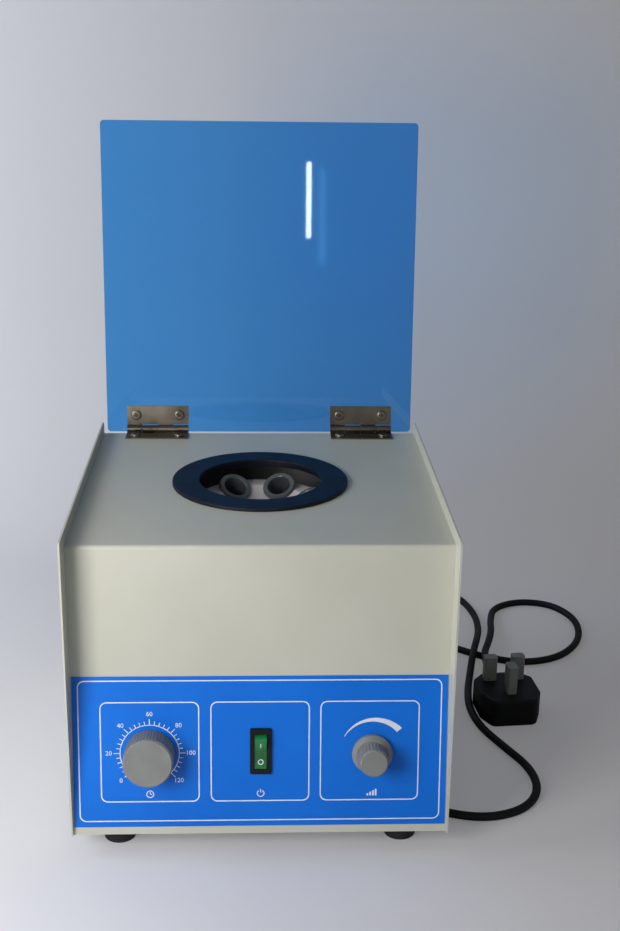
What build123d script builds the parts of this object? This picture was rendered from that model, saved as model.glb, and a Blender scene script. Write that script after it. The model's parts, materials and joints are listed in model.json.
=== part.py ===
# Bench-top angle-rotor centrifuge. Millimetres, +Z up, the front faces -Y.

import os
from math import atan2, cos, degrees, pi, radians, sin, tan

from build123d import *

os.makedirs("parts", exist_ok=True)

# Fits: seat within one body, running in a bearing, slack at a screw, clearance between bodies
seat = 0.02
running = 0.05
seam = 0.1
slack = 0.1
clearance = 0.3

# Case
case_width = 245.0
case_depth = 258.0
cheek_height = 204.0
sheet = 1.2
cheek_corner = 4.0
top_recess = 9.0
toe_recess = 2.3
brow_recess = 18.0
brow_height = 106.5
fold_radius = 2.5
side_hem = 12.0
rear_hem = 14.0
hem_end = 8.0
vent_length = 36.0
vent_width = 4.0
vent_pitch = 10.0
tray_vent_spread = 170.0
tray_vent_rows = 5
rear_vent_spread = 90.0
rear_vent_rows = 6
rear_vent_height = 130.0

# Rubber feet
foot_height = 15.0
foot_radius = 11.5
foot_taper = 1.0
foot_recess = 6.0
foot_recess_radius = 5.5
foot_side_inset = 29.0
foot_end_inset = 25.0

# Screws
screw_radius = 2.0
screw_head_radius = 3.8
screw_head_height = 1.6
screw_head_round = 0.96
screw_length = 7.0
screw_show = 3.0
cheek_screw_top_inset = 62.0
cheek_screw_low_inset = 40.0
cheek_screw_rear_inset = 34.0
rear_screw_inset = 32.5
hem_screw_edge = 5.6

# Control face, measured along the slope from its lower edge
label_margin = 0.8
label_height = 101.7
label_start = 5.3
label_thickness = 0.5
dial_x = -71.3
dial_rise = 55.6
gauge_x = 72.0
gauge_rise = 54.5
switch_rise = 56.5

# Timer and speed control
shaft_radius = 3.0
shaft_hole = 4.6
shaft_reach = 10.0
bushing_radius = 4.4
bushing_length = 3.6
panel_nut_radius = 6.5
panel_nut_height = 2.4
timer_case_width = 52.0
timer_case_height = 48.0
timer_case_depth = 28.0
timer_case_corner = 4.0
pot_radius = 12.0
pot_depth = 12.0
pot_lug = 6.0
pot_lug_width = 14.0
timer_knob_radius = 16.0
timer_knob_height = 18.0
timer_knob_flutes = 48
speed_skirt_radius = 13.0
speed_skirt_height = 2.5
speed_face_radius = 9.2
speed_knob_height = 18.0
speed_knob_flutes = 24
flute_radius = 0.6
flute_bite = 0.36
skirt_bevel = 45.0
knob_gap = 0.5
knob_edge = 1.0
knob_edge_bevel = 30.0
knob_crown = 3.0
knob_wall = 3.0
nut_room = 4.0
nut_room_gap = 1.0

# Power switch
bezel_width = 14.0
bezel_height = 31.0
bezel_lip = 2.0
bezel_corner = 1.0
bezel_bevel = 12.0
switch_body_width = 12.2
switch_body_height = 27.4
switch_body_depth = 22.0
rocker_width = 7.6
rocker_height = 23.4
rocker_throw = 12.0
rocker_depth = 4.0
rocker_well = 7.0
pivot_drop = 2.5
pivot_radius = 1.2
pivot_length = 1.0
terminal_length = 8.0
terminal_width = 6.3
terminal_thickness = 0.8
terminal_pitch = 8.0
terminal_count = 3

# Control board, with its parts placed from its middle
board_gap = 8.3
board_width = 46.0
board_length = 90.0
board_thickness = 1.6
board_edge = 4.0
board_setback = 15.0
relay_width = 18.0
relay_length = 15.0
relay_x = -10.0
relay_y = 26.0
terminal_block_width = 12.0
terminal_block_length = 30.0
terminal_block_x = -12.0
terminal_block_y = -28.0
block_height = 15.0
capacitor_radius = 6.5
capacitor_height = 21.0
input_capacitor_x = -12.0
output_capacitor_x = 10.0
output_capacitor_y = 28.0
standoff_height = 8.0
standoff_radius = 3.0
heatsink_base = 3.0
heatsink_length = 40.0
heatsink_height = 25.0
heatsink_fin = 10.0
heatsink_pitch = 6.0
heatsink_fins = 7
heatsink_fin_thickness = 1.5
heatsink_x = 6.0
heatsink_y = -12.0

# Chamber, rotor and drive share one vertical axis
chamber_inset = 139.5
mouth_radius = 50.0
ring_radius = 61.5
ring_bore = 42.5
ring_thickness = 2.5
ring_edge = 0.8
spigot_wall = 3.0
spigot_depth = 4.0
bowl_radius = 105.0
bowl_wall = 1.5
bowl_flange = 8.0
bowl_fold = 6.0
bowl_floor = 98.0
hub_hole = 12.0

# Rotor head with tilted tube sleeves
sleeve_count = 6
sleeve_tilt = 33.0
sleeve_turn = 4.0
sleeve_pitch_radius = 31.0
sleeve_mouth_drop = 12.0
sleeve_bore = 8.2
sleeve_radius = 9.5
sleeve_flange_radius = 11.75
sleeve_flange = 3.0
sleeve_length = 88.0
sleeve_bottom = 3.0
sleeve_round = 5.0
sleeve_edge = 0.6
cushion_height = 4.0
cushion_radius = 7.6
socket_clearance = 0.1
head_wall = 1.9
head_depth = 39.0
head_inner = 16.0
head_skirt = 12.8
head_hub = 12.0
head_hub_step = 2.0
head_web = 28.0
head_floor = 17.0
rim_drop = 2.0
nut_drop = 27.0
hub_height = 33.0
rotor_nut_radius = 9.5
rotor_nut_height = 7.0
collar_radius = 6.0
collar_height = 4.0
spindle_radius = 4.0
spindle_chamfer = 1.0

# Motor on its damped plate
damper_height = 14.0
damper_radius = 8.0
damper_edge = 1.5
damper_pitch = 90.0
plate_width = 110.0
plate_corner = 8.0
plate_thickness = 2.5
motor_radius = 42.0
motor_wall = 1.6
can_length = 40.0
lower_cap_height = 20.0
upper_cap_height = 15.5
cap_wall = 3.5
cap_floor = 2.5
cap_vents = 8
cap_vent_radius = 26.0
cap_vent_length = 18.0
boss_wall = 3.0
bearing_radius = 8.0
bearing_width = 5.0
bearing_lip = 2.0
bearing_groove = 1.2
core_rise = 6.0
core_length = 28.0
core_slack = 0.1
yoke_wall = 4.0
pole_width = 14.0
shoe_radius = 29.0
shoe_split = 16.0
field_bore = 24.0
coil_wall = 5.5
coil_depth = 4.0
air_gap = 0.5
armature_slots = 12
slot_depth = 8.0
slot_width = 3.2
slot_liner = 0.25
slot_wedge = 1.25
winding_height = 5.0
winding_inset = 1.0
winding_bore = 9.0
commutator_radius = 11.0
commutator_length = 10.0
bar_gap = 0.6
bar_gap_depth = 1.0
brush_rise = 13.5
brush_length = 17.0
brush_width = 6.0
brush_height = 5.0
brush_show = 2.0
holder_length = 30.0
holder_width = 8.0
holder_height = 7.0
holder_plug = 8.0
fan_radius = 30.0
fan_hub = 8.0
fan_plate = 1.0
fan_height = 5.0
fan_gap = 2.0
fan_blades = 9

# Lid and its two hinges
lid_margin = 3.5
lid_length = 237.0
lid_thickness = 3.0
lid_corner = 3.0
lid_lean = 4.6
lid_drop = 2.7
hinge_width = 48.0
hinge_centre = 79.5
hinge_leaf = 15.0
hinge_radius = 2.9
hinge_sheet = 1.0
hinge_pin = 1.2
hinge_screw_pitch = 33.5
hinge_screw_reach = 10.7
hinge_nut_height = 2.4
nut_show = 0.6
knuckle_count = 4
knuckle_gap = 0.3

# Supply lead, strain relief and plug, measured on the floor the case stands on
cord_diameter = 6.0
bend_share = 0.45
gland_x = 68.0
gland_rise = 24.0
gland_thread = 6.0
gland_nut = 9.0
gland_collar = 4.0
gland_dome = 6.0
gland_dome_step = 1.0
gland_dome_taper = 12.0
gland_inside = 12.0
relief_radius = 5.0
relief_wall = 1.0
relief_root = 5.0
fuse_pitch = 30.0
fuse_radius = 6.0
fuse_rim = 2.0
fuse_flutes = 12
fuse_collar = 2.0
fuse_cap = 7.0
fuse_length = 32.0
plug_x = 195.5
plug_y = 190.0
plug_turn = 5.0
plug_width = 48.0
plug_length = 50.0
plug_height = 22.0
plug_foot_inset = 6.72
plug_foot_slant = 15.0
plug_neck_inset = 9.6
plug_neck_slant = 10.0
plug_corner = 6.0
plug_edge = 2.0
pin_spread = 22.2
earth_spread = 22.2
live_rise = 14.0
live_pin_width = 6.35
earth_pin_width = 8.0
pin_thickness = 4.0
live_pin_length = 17.7
earth_pin_length = 20.5
cap_thickness = 2.0

# Places that follow from the sizes above
slope = degrees(atan2(brow_recess - toe_recess, brow_height))
slope_sin = sin(radians(slope))
slope_cos = cos(radians(slope))
half = case_width / 2
inner = half - sheet
label_width = 2 * (inner - label_margin)
lid_width = case_width - 2 * lid_margin
base_z = foot_height
top_z = base_z + cheek_height - top_recess
tilt_sin = sin(radians(sleeve_tilt))
tilt_cos = cos(radians(sleeve_tilt))
lean_sin = sin(radians(lid_lean))
lean_cos = cos(radians(lid_lean))
lid_reach = (lid_length - lid_drop) * lean_sin + (hinge_radius + lid_thickness) * lean_cos
knob_reach = (
    (label_thickness + knob_gap + timer_knob_height - knob_edge) * slope_cos
    + (timer_knob_radius - dial_rise) * slope_sin
    - toe_recess
)
# The origin stands under the middle of the box that the timer knob and the open lid reach
front = (knob_reach - lid_reach - case_depth) / 2
rear = front + case_depth
axis_y = front + chamber_inset
hinge_y = rear
hinge_z = top_z + hinge_radius
bowl_bottom = base_z + bowl_floor
mouth_z = top_z - sleeve_mouth_drop
nut_seat = top_z - nut_drop
hub_foot = nut_seat - hub_height
spindle_tip = nut_seat + rotor_nut_height + screw_show
plate_z = base_z + sheet + damper_height
motor_z = plate_z + plate_thickness
brush_z = motor_z + brush_rise
core_radius = motor_radius - motor_wall - core_slack
board_x = inner - board_gap - board_width / 2
board_y = axis_y - board_setback
fuse_x = gland_x + fuse_pitch

control_face = Plane(
    origin=(0, front + toe_recess, base_z),
    x_dir=(1, 0, 0),
    z_dir=(0, -slope_cos, slope_sin),
)
lid_face = Plane(origin=(0, hinge_y, hinge_z), x_dir=(1, 0, 0), z_dir=(0, -lean_cos, lean_sin))
axis_view = Plane.XZ.offset(-axis_y)
spin_axis = Axis((0, axis_y, 0), (0, 0, 1))
rocker_crest = pivot_drop / cos(radians(rocker_throw))
from_below = (Align.CENTER, Align.CENTER, Align.MIN)
from_above = (Align.CENTER, Align.CENTER, Align.MAX)


def on_face(x, rise, lift=0.0):
    """The control face's plane with its origin at x and rise, lifted outwards."""
    return Plane(
        origin=control_face.from_local_coords((x, rise, lift)),
        x_dir=control_face.x_dir,
        z_dir=control_face.z_dir,
    )


def socket(number, depth):
    """The plane across one sleeve at a depth below its mouth, facing out of the mouth."""
    turn = radians(sleeve_turn) + number * 2 * pi / sleeve_count
    radius = sleeve_pitch_radius + depth * tilt_sin
    return Plane(
        origin=(radius * cos(turn), axis_y + radius * sin(turn), mouth_z - depth * tilt_cos),
        x_dir=(-sin(turn), cos(turn), 0),
        z_dir=(-tilt_sin * cos(turn), -tilt_sin * sin(turn), tilt_cos),
    )


def along_socket(depth, outwards):
    """A point of the rotor's section, by depth along a sleeve and distance outwards from its axis."""
    return (
        sleeve_pitch_radius + depth * tilt_sin + outwards * tilt_cos,
        mouth_z - depth * tilt_cos + outwards * tilt_sin,
    )


def pan_screw(length):
    """A pan-head screw with its head above z = 0 and a plain shank below."""
    with BuildPart() as piece:
        Cylinder(screw_head_radius, screw_head_height, align=from_below)
        fillet(piece.faces().sort_by(Axis.Z)[-1].edges(), screw_head_round)
        Cylinder(screw_radius, length, align=from_above)
    return piece.part


def hinge_screw(length, grip):
    """A pan-head screw with a hexagon nut a grip below its head."""
    screw = pan_screw(length)
    with BuildPart() as piece:
        add(screw)
        with BuildSketch(Plane.XY.offset(-grip)):
            RegularPolygon(screw_head_radius, 6)
        extrude(amount=-hinge_nut_height)
    return piece.part


def flush_screw(extra=0.0):
    """A countersunk screw below z = 0, grown all round by extra."""
    with BuildPart() as piece:
        Cone(
            screw_radius + extra,
            screw_head_radius + extra,
            sheet,
            align=from_above,
        )
        Cylinder(screw_radius + extra, screw_length, align=from_above)
    return piece.part


# Case
cheek_screw_spots = [
    (front + cheek_screw_top_inset, top_z - side_hem / 2),
    (rear - cheek_screw_rear_inset, top_z - side_hem / 2),
    (front + cheek_screw_low_inset, base_z + side_hem / 2),
    (rear - cheek_screw_rear_inset, base_z + side_hem / 2),
]
cheek_screw_places = [
    Plane(origin=(side * half, y, z), x_dir=(0, 1, 0), z_dir=(side, 0, 0)).location
    for side in (-1, 1)
    for y, z in cheek_screw_spots
]
rear_screw_xs = [side * (half - rear_screw_inset) for side in (-1, 0, 1)]
hem_screw_spots = [(x, top_z - rear_hem + hem_screw_edge) for x in rear_screw_xs]
lip_screw_spots = [(x, base_z + rear_hem - hem_screw_edge) for x in rear_screw_xs]
foot_spots = [
    (side * (half - foot_side_inset), y)
    for side in (-1, 1)
    for y in (front + foot_end_inset, rear - foot_end_inset)
]
damper_spots = [
    (side * damper_pitch / 2, axis_y + end * damper_pitch / 2) for side in (-1, 1) for end in (-1, 1)
]
hinge_screw_xs = [
    side * hinge_centre + shift * hinge_screw_pitch / 2 for side in (-1, 1) for shift in (-1, 1)
]
hem_length = case_depth - brow_recess - 2 * hem_end
hem_middle = (front + brow_recess + rear) / 2
tray_hem_middle = (front + rear) / 2 + toe_recess + hem_end / 2
tray_hem_length = case_depth - 2 * toe_recess - 3 * hem_end
tray_front = front + toe_recess + (sheet + seam) / slope_cos
screw_hole = screw_radius + slack

with BuildPart() as wrap_shell:
    with BuildSketch(Plane.YZ):
        with BuildLine():
            FilletPolyline(
                (front + toe_recess, base_z),
                (front + brow_recess, base_z + brow_height),
                (front + brow_recess, top_z),
                (rear, top_z),
                (rear, top_z - rear_hem),
                radius=fold_radius,
            )
            offset(amount=sheet, side=Side.RIGHT)
        make_face()
    extrude(amount=inner, both=True)
    with Locations(*[(side * (inner - sheet / 2), hem_middle, top_z - sheet / 2) for side in (-1, 1)]):
        Box(sheet, hem_length, side_hem - sheet / 2, align=from_above)
    with Locations((0, axis_y, top_z)):
        Cylinder(mouth_radius, 4 * sheet, mode=Mode.SUBTRACT)
    with BuildSketch(control_face):
        with Locations((dial_x, dial_rise), (gauge_x, gauge_rise)):
            Circle(shaft_hole)
        with Locations((0, switch_rise)):
            Rectangle(switch_body_width + 2 * slack, switch_body_height + 2 * slack)
    extrude(amount=3 * sheet, both=True, mode=Mode.SUBTRACT)
    with Locations(*[(x, hinge_y - hinge_screw_reach, top_z) for x in hinge_screw_xs]):
        Cylinder(screw_hole, 4 * sheet, mode=Mode.SUBTRACT)
    with BuildSketch(Plane.YZ):
        with Locations(*cheek_screw_spots[:2]):
            Circle(screw_hole)
    extrude(amount=half, both=True, mode=Mode.SUBTRACT)
    with BuildSketch(Plane.XZ.offset(-rear)):
        with Locations(*hem_screw_spots):
            Circle(screw_hole)
    extrude(amount=2 * sheet, mode=Mode.SUBTRACT)
wrap_shell.part.label = "wrap_shell"
export_step(wrap_shell.part, "parts/wrap_shell.step")

cheek_screw_cut = flush_screw(slack)
for cheek_name, side in (("left_cheek", -1), ("right_cheek", 1)):
    with BuildPart() as cheek:
        with BuildSketch(Plane.YZ.offset(side * (half - sheet / 2))) as outline:
            with Locations((front + case_depth / 2, base_z + cheek_height / 2)):
                Rectangle(case_depth, cheek_height)
            fillet(outline.vertices().group_by(Axis.Y)[-1], cheek_corner)
        extrude(amount=sheet / 2, both=True)
        with Locations(*cheek_screw_places):
            add(cheek_screw_cut, mode=Mode.SUBTRACT)
    cheek.part.label = cheek_name
    export_step(cheek.part, f"parts/{cheek_name}.step")

with BuildPart() as base_tray:
    with BuildSketch(Plane.YZ):
        with BuildLine():
            FilletPolyline(
                (tray_front + side_hem * slope_sin / slope_cos, base_z + side_hem),
                (tray_front, base_z),
                (rear, base_z),
                (rear, base_z + rear_hem),
                radius=fold_radius,
            )
            offset(amount=sheet, side=Side.LEFT)
        make_face()
    extrude(amount=inner, both=True)
    tray_hem_places = [(side * (inner - sheet / 2), tray_hem_middle) for side in (-1, 1)]
    with Locations(*[(x, y, base_z + sheet / 2) for x, y in tray_hem_places]):
        Box(sheet, tray_hem_length, side_hem - sheet / 2, align=from_below)
    with BuildSketch(Plane.XY.offset(base_z)):
        with Locations(*foot_spots, *damper_spots):
            Circle(screw_hole)
        with Locations((0, axis_y)):
            with GridLocations(tray_vent_spread, vent_pitch, 2, tray_vent_rows):
                SlotOverall(vent_length, vent_width)
    extrude(amount=sheet, mode=Mode.SUBTRACT)
    with BuildSketch(Plane.YZ):
        with Locations(*cheek_screw_spots[2:]):
            Circle(screw_hole)
    extrude(amount=half, both=True, mode=Mode.SUBTRACT)
    with BuildSketch(Plane.XZ.offset(-rear)):
        with Locations(*lip_screw_spots):
            Circle(screw_hole)
    extrude(amount=2 * sheet, mode=Mode.SUBTRACT)
base_tray.part.label = "base_tray"
export_step(base_tray.part, "parts/base_tray.step")

panel_foot = base_z + fold_radius + slack
panel_head = top_z - fold_radius - slack
panel_face = rear - sheet
with BuildPart() as rear_panel:
    with BuildSketch(Plane.XZ.offset(-panel_face)):
        with Locations((0, (panel_foot + panel_head) / 2)):
            Rectangle(2 * (inner - seam), panel_head - panel_foot)
        with Locations((gland_x, base_z + gland_rise)):
            Circle(gland_thread + slack, mode=Mode.SUBTRACT)
        with Locations((fuse_x, base_z + gland_rise)):
            Circle(fuse_radius + slack, mode=Mode.SUBTRACT)
        with Locations(*hem_screw_spots, *lip_screw_spots):
            Circle(screw_hole, mode=Mode.SUBTRACT)
        with Locations((0, rear_vent_height)):
            with GridLocations(rear_vent_spread, vent_pitch, 2, rear_vent_rows):
                SlotOverall(vent_length, vent_width, mode=Mode.SUBTRACT)
    extrude(amount=sheet)
rear_panel.part.label = "rear_panel"
export_step(rear_panel.part, "parts/rear_panel.step")

with BuildPart() as feet:
    with Locations(*foot_spots):
        Cone(foot_radius - foot_taper, foot_radius, foot_height, align=from_below)
        Cylinder(screw_hole, 3 * foot_height, mode=Mode.SUBTRACT)
        Cylinder(foot_recess_radius, 2 * foot_recess, mode=Mode.SUBTRACT)
    foot_rims = feet.edges().group_by(Axis.Z)[0].filter_by(GeomType.CIRCLE)
    fillet(foot_rims.group_by(SortBy.RADIUS)[-1], foot_taper)
feet.part.label = "feet"
export_step(feet.part, "parts/feet.step")

cheek_screw = flush_screw()
foot_screw = pan_screw(foot_height - foot_recess + sheet + screw_show)
foot_screw_places = [
    Plane(origin=(x, y, foot_recess), z_dir=(0, 0, -1)).location for x, y in foot_spots
]
rear_screw = pan_screw(2 * sheet + screw_show)
rear_screw_places = [
    Plane(origin=(x, rear, z), z_dir=(0, 1, 0)).location for x, z in hem_screw_spots + lip_screw_spots
]
with BuildPart() as case_screws:
    with Locations(*cheek_screw_places):
        add(cheek_screw)
    with Locations(*foot_screw_places):
        add(foot_screw)
    with Locations(*rear_screw_places):
        add(rear_screw)
case_screws.part.label = "case_screws"
export_step(case_screws.part, "parts/case_screws.step")

with BuildPart() as control_label:
    with BuildSketch(control_face):
        with Locations((0, label_start + label_height / 2)):
            Rectangle(label_width, label_height)
        with Locations((dial_x, dial_rise), (gauge_x, gauge_rise)):
            Circle(shaft_hole, mode=Mode.SUBTRACT)
        with Locations((0, switch_rise)):
            Rectangle(switch_body_width + 2 * slack, switch_body_height + 2 * slack, mode=Mode.SUBTRACT)
    extrude(amount=label_thickness)
control_label.part.label = "control_label"
export_step(control_label.part, "parts/control_label.step")

# Chamber
spigot_radius = mouth_radius - clearance
with BuildPart() as opening_ring:
    with BuildSketch(axis_view) as outline:
        with BuildLine():
            Polyline(
                (ring_bore, top_z),
                (spigot_radius - spigot_wall, top_z),
                (spigot_radius - spigot_wall, top_z - spigot_depth),
                (spigot_radius, top_z - spigot_depth),
                (spigot_radius, top_z),
                (ring_radius, top_z),
                (ring_radius, top_z + ring_thickness),
                (ring_bore, top_z + ring_thickness),
                close=True,
            )
        make_face()
        fillet(outline.vertices().group_by(Axis.Y)[-1], ring_edge)
    revolve(axis=spin_axis)
opening_ring.part.label = "opening_ring"
export_step(opening_ring.part, "parts/opening_ring.step")

with BuildPart() as chamber_bowl:
    with BuildSketch(axis_view):
        with BuildLine():
            FilletPolyline(
                (hub_hole, bowl_bottom),
                (bowl_radius, bowl_bottom),
                (bowl_radius, top_z - sheet - bowl_wall),
                (bowl_radius + bowl_flange, top_z - sheet - bowl_wall),
                radius=bowl_fold,
            )
            offset(amount=bowl_wall, side=Side.LEFT)
        make_face()
    revolve(axis=spin_axis)
chamber_bowl.part.label = "chamber_bowl"
export_step(chamber_bowl.part, "parts/chamber_bowl.step")

# Motor
with BuildPart() as motor_plate:
    with BuildSketch(Plane.XY.offset(plate_z)):
        with Locations((0, axis_y)):
            RectangleRounded(plate_width, plate_width, plate_corner)
        with Locations(*damper_spots):
            Circle(screw_hole, mode=Mode.SUBTRACT)
    extrude(amount=plate_thickness)
motor_plate.part.label = "motor_plate"
export_step(motor_plate.part, "parts/motor_plate.step")

with BuildPart() as plate_dampers:
    with BuildSketch(Plane.XY.offset(base_z + sheet)):
        with Locations(*damper_spots):
            Circle(damper_radius)
            Circle(screw_hole, mode=Mode.SUBTRACT)
    extrude(amount=damper_height)
    damper_rims = plate_dampers.edges().filter_by(GeomType.CIRCLE)
    chamfer(damper_rims.group_by(SortBy.RADIUS)[-1], damper_edge)
plate_dampers.part.label = "plate_dampers"
export_step(plate_dampers.part, "parts/plate_dampers.step")

damper_screw = pan_screw(plate_thickness + damper_height + sheet + screw_show)
with BuildPart() as damper_screws:
    with Locations(*[(x, y, motor_z) for x, y in damper_spots]):
        add(damper_screw)
damper_screws.part.label = "damper_screws"
export_step(damper_screws.part, "parts/damper_screws.step")

boss_radius = bearing_radius + boss_wall
boss_bore = bearing_radius + seat
lower_bearing_z = motor_z + cap_floor
cap_bore = motor_radius - cap_wall
can_z = motor_z + lower_cap_height
upper_cap_z = can_z + can_length
cap_top = upper_cap_z + upper_cap_height
upper_bearing_z = cap_top - cap_floor - bearing_width

with BuildPart() as motor_bottom_cap:
    with BuildSketch(axis_view):
        with BuildLine():
            Polyline(
                (0, motor_z),
                (motor_radius, motor_z),
                (motor_radius, can_z),
                (cap_bore, can_z),
                (cap_bore, motor_z + cap_floor),
                (boss_radius, motor_z + cap_floor),
                (boss_radius, lower_bearing_z + bearing_width),
                (boss_bore, lower_bearing_z + bearing_width),
                (boss_bore, lower_bearing_z),
                (0, lower_bearing_z),
                close=True,
            )
        make_face()
    revolve(axis=spin_axis)
    with Locations((0, axis_y, brush_z)):
        Box(3 * motor_radius, holder_width + 2 * slack, holder_height + 2 * slack, mode=Mode.SUBTRACT)
motor_bottom_cap.part.label = "motor_bottom_cap"
export_step(motor_bottom_cap.part, "parts/motor_bottom_cap.step")

with BuildPart() as motor_can:
    with BuildSketch(Plane.XY.offset(can_z)):
        with Locations((0, axis_y)):
            Circle(motor_radius)
            Circle(motor_radius - motor_wall, mode=Mode.SUBTRACT)
    extrude(amount=can_length)
motor_can.part.label = "motor_can"
export_step(motor_can.part, "parts/motor_can.step")

with BuildPart() as motor_top_cap:
    with BuildSketch(axis_view):
        with BuildLine():
            Polyline(
                (motor_radius, upper_cap_z),
                (motor_radius, cap_top),
                (bearing_radius - bearing_lip, cap_top),
                (bearing_radius - bearing_lip, cap_top - cap_floor),
                (boss_bore, cap_top - cap_floor),
                (boss_bore, upper_bearing_z),
                (boss_radius, upper_bearing_z),
                (boss_radius, cap_top - cap_floor),
                (cap_bore, cap_top - cap_floor),
                (cap_bore, upper_cap_z),
                close=True,
            )
        make_face()
    revolve(axis=spin_axis)
    with BuildSketch(Plane.XY.offset(cap_top)):
        with Locations((0, axis_y)):
            with PolarLocations(cap_vent_radius, cap_vents):
                SlotOverall(cap_vent_length, vent_width)
    extrude(amount=-cap_floor, mode=Mode.SUBTRACT)
motor_top_cap.part.label = "motor_top_cap"
export_step(motor_top_cap.part, "parts/motor_top_cap.step")

with BuildPart() as motor_bearings:
    for foot in (lower_bearing_z, upper_bearing_z):
        with BuildSketch(axis_view):
            with Locations(((bearing_radius + spindle_radius + running) / 2, foot + bearing_width / 2)):
                Rectangle(bearing_radius - spindle_radius - running, bearing_width)
                with Locations((0, bearing_width / 2), (0, -bearing_width / 2)):
                    Rectangle(bearing_groove, bearing_groove, mode=Mode.SUBTRACT)
        revolve(axis=spin_axis)
motor_bearings.part.label = "motor_bearings"
export_step(motor_bearings.part, "parts/motor_bearings.step")

core_z = can_z + core_rise
yoke_bore = core_radius - yoke_wall
with BuildPart() as field_core:
    with BuildSketch(Plane.XY.offset(core_z)):
        with Locations((0, axis_y)):
            Circle(core_radius)
            Circle(yoke_bore, mode=Mode.SUBTRACT)
            Rectangle(pole_width, 2 * yoke_bore + yoke_wall)
            Circle(shoe_radius)
            Rectangle(2 * shoe_radius + yoke_wall, shoe_split, mode=Mode.SUBTRACT)
            Circle(field_bore, mode=Mode.SUBTRACT)
    extrude(amount=core_length)
field_core.part.label = "field_core"
export_step(field_core.part, "parts/field_core.step")

with BuildPart() as field_coils:
    for side in (-1, 1):
        coil_y = axis_y + side * (shoe_radius + slack + coil_depth / 2)
        with Locations((0, coil_y, core_z + core_length / 2)):
            Box(pole_width + 2 * coil_wall, coil_depth, core_length + 2 * coil_wall)
            Box(pole_width + 2 * slack, coil_depth, core_length + 2 * slack, mode=Mode.SUBTRACT)
field_coils.part.label = "field_coils"
export_step(field_coils.part, "parts/field_coils.step")

holder_start = commutator_radius + brush_show
with BuildPart() as brush_holders:
    for side in (-1, 1):
        with Locations((side * (holder_start + holder_length / 2), axis_y, brush_z)):
            Box(holder_length, holder_width, holder_height)
            Box(holder_length, brush_width + 2 * slack, brush_height + 2 * slack, mode=Mode.SUBTRACT)
        with Locations((side * (holder_start + holder_length - holder_plug / 2), axis_y, brush_z)):
            Box(holder_plug, brush_width + 2 * slack, brush_height + 2 * slack)
brush_holders.part.label = "brush_holders"
export_step(brush_holders.part, "parts/brush_holders.step")

with BuildPart() as carbon_brushes:
    for side in (-1, 1):
        with Locations((side * (commutator_radius + clearance + brush_length / 2), axis_y, brush_z)):
            Box(brush_length, brush_width, brush_height)
carbon_brushes.part.label = "carbon_brushes"
export_step(carbon_brushes.part, "parts/carbon_brushes.step")

shaft_foot = lower_bearing_z + clearance
with BuildPart() as spindle_shaft:
    with BuildSketch(axis_view):
        with BuildLine():
            Polyline(
                (0, shaft_foot),
                (spindle_radius, shaft_foot),
                (spindle_radius, hub_foot - collar_height),
                (collar_radius, hub_foot - collar_height),
                (collar_radius, hub_foot),
                (spindle_radius, hub_foot),
                (spindle_radius, spindle_tip - spindle_chamfer),
                (spindle_radius - spindle_chamfer, spindle_tip),
                (0, spindle_tip),
                close=True,
            )
        make_face()
    revolve(axis=spin_axis)
spindle_shaft.part.label = "spindle_shaft"
export_step(spindle_shaft.part, "parts/spindle_shaft.step")

armature_radius = field_bore - air_gap
shaft_seat = spindle_radius + seat
with BuildPart() as armature_core:
    with BuildSketch(Plane.XY.offset(core_z)):
        with Locations((0, axis_y)):
            Circle(armature_radius)
            Circle(shaft_seat, mode=Mode.SUBTRACT)
            with PolarLocations(armature_radius, armature_slots):
                Rectangle(2 * slot_depth, slot_width, mode=Mode.SUBTRACT)
    extrude(amount=core_length)
armature_core.part.label = "armature_core"
export_step(armature_core.part, "parts/armature_core.step")

slot_fill = slot_depth - slot_liner - slot_wedge
with BuildPart() as armature_winding:
    with BuildSketch(Plane.XY.offset(core_z)):
        with Locations((0, axis_y)):
            with PolarLocations(armature_radius - slot_wedge - slot_fill / 2, armature_slots):
                Rectangle(slot_fill, slot_width - 2 * slack)
    extrude(amount=core_length)
    for foot in (core_z - winding_height, core_z + core_length):
        with BuildSketch(Plane.XY.offset(foot)):
            with Locations((0, axis_y)):
                Circle(armature_radius - winding_inset)
                Circle(winding_bore, mode=Mode.SUBTRACT)
        extrude(amount=winding_height)
armature_winding.part.label = "armature_winding"
export_step(armature_winding.part, "parts/armature_winding.step")

with BuildPart() as commutator:
    with BuildSketch(Plane.XY.offset(brush_z - commutator_length / 2)):
        with Locations((0, axis_y)):
            Circle(commutator_radius)
            Circle(shaft_seat, mode=Mode.SUBTRACT)
            with PolarLocations(commutator_radius, armature_slots):
                Rectangle(2 * bar_gap_depth, bar_gap, mode=Mode.SUBTRACT)
    extrude(amount=commutator_length)
commutator.part.label = "commutator"
export_step(commutator.part, "parts/commutator.step")

fan_z = core_z + core_length + winding_height + fan_gap
with BuildPart() as cooling_fan:
    with BuildSketch(Plane.XY.offset(fan_z)):
        with Locations((0, axis_y)):
            Circle(fan_radius)
            Circle(shaft_seat, mode=Mode.SUBTRACT)
    extrude(amount=fan_plate)
    with BuildSketch(Plane.XY.offset(fan_z + fan_plate)):
        with Locations((0, axis_y)):
            Circle(fan_hub)
            with PolarLocations((fan_hub + fan_radius) / 2 - fan_plate, fan_blades):
                Rectangle(fan_radius - fan_hub, fan_plate)
            Circle(shaft_seat, mode=Mode.SUBTRACT)
    extrude(amount=fan_height - fan_plate)
cooling_fan.part.label = "cooling_fan"
export_step(cooling_fan.part, "parts/cooling_fan.step")

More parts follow.
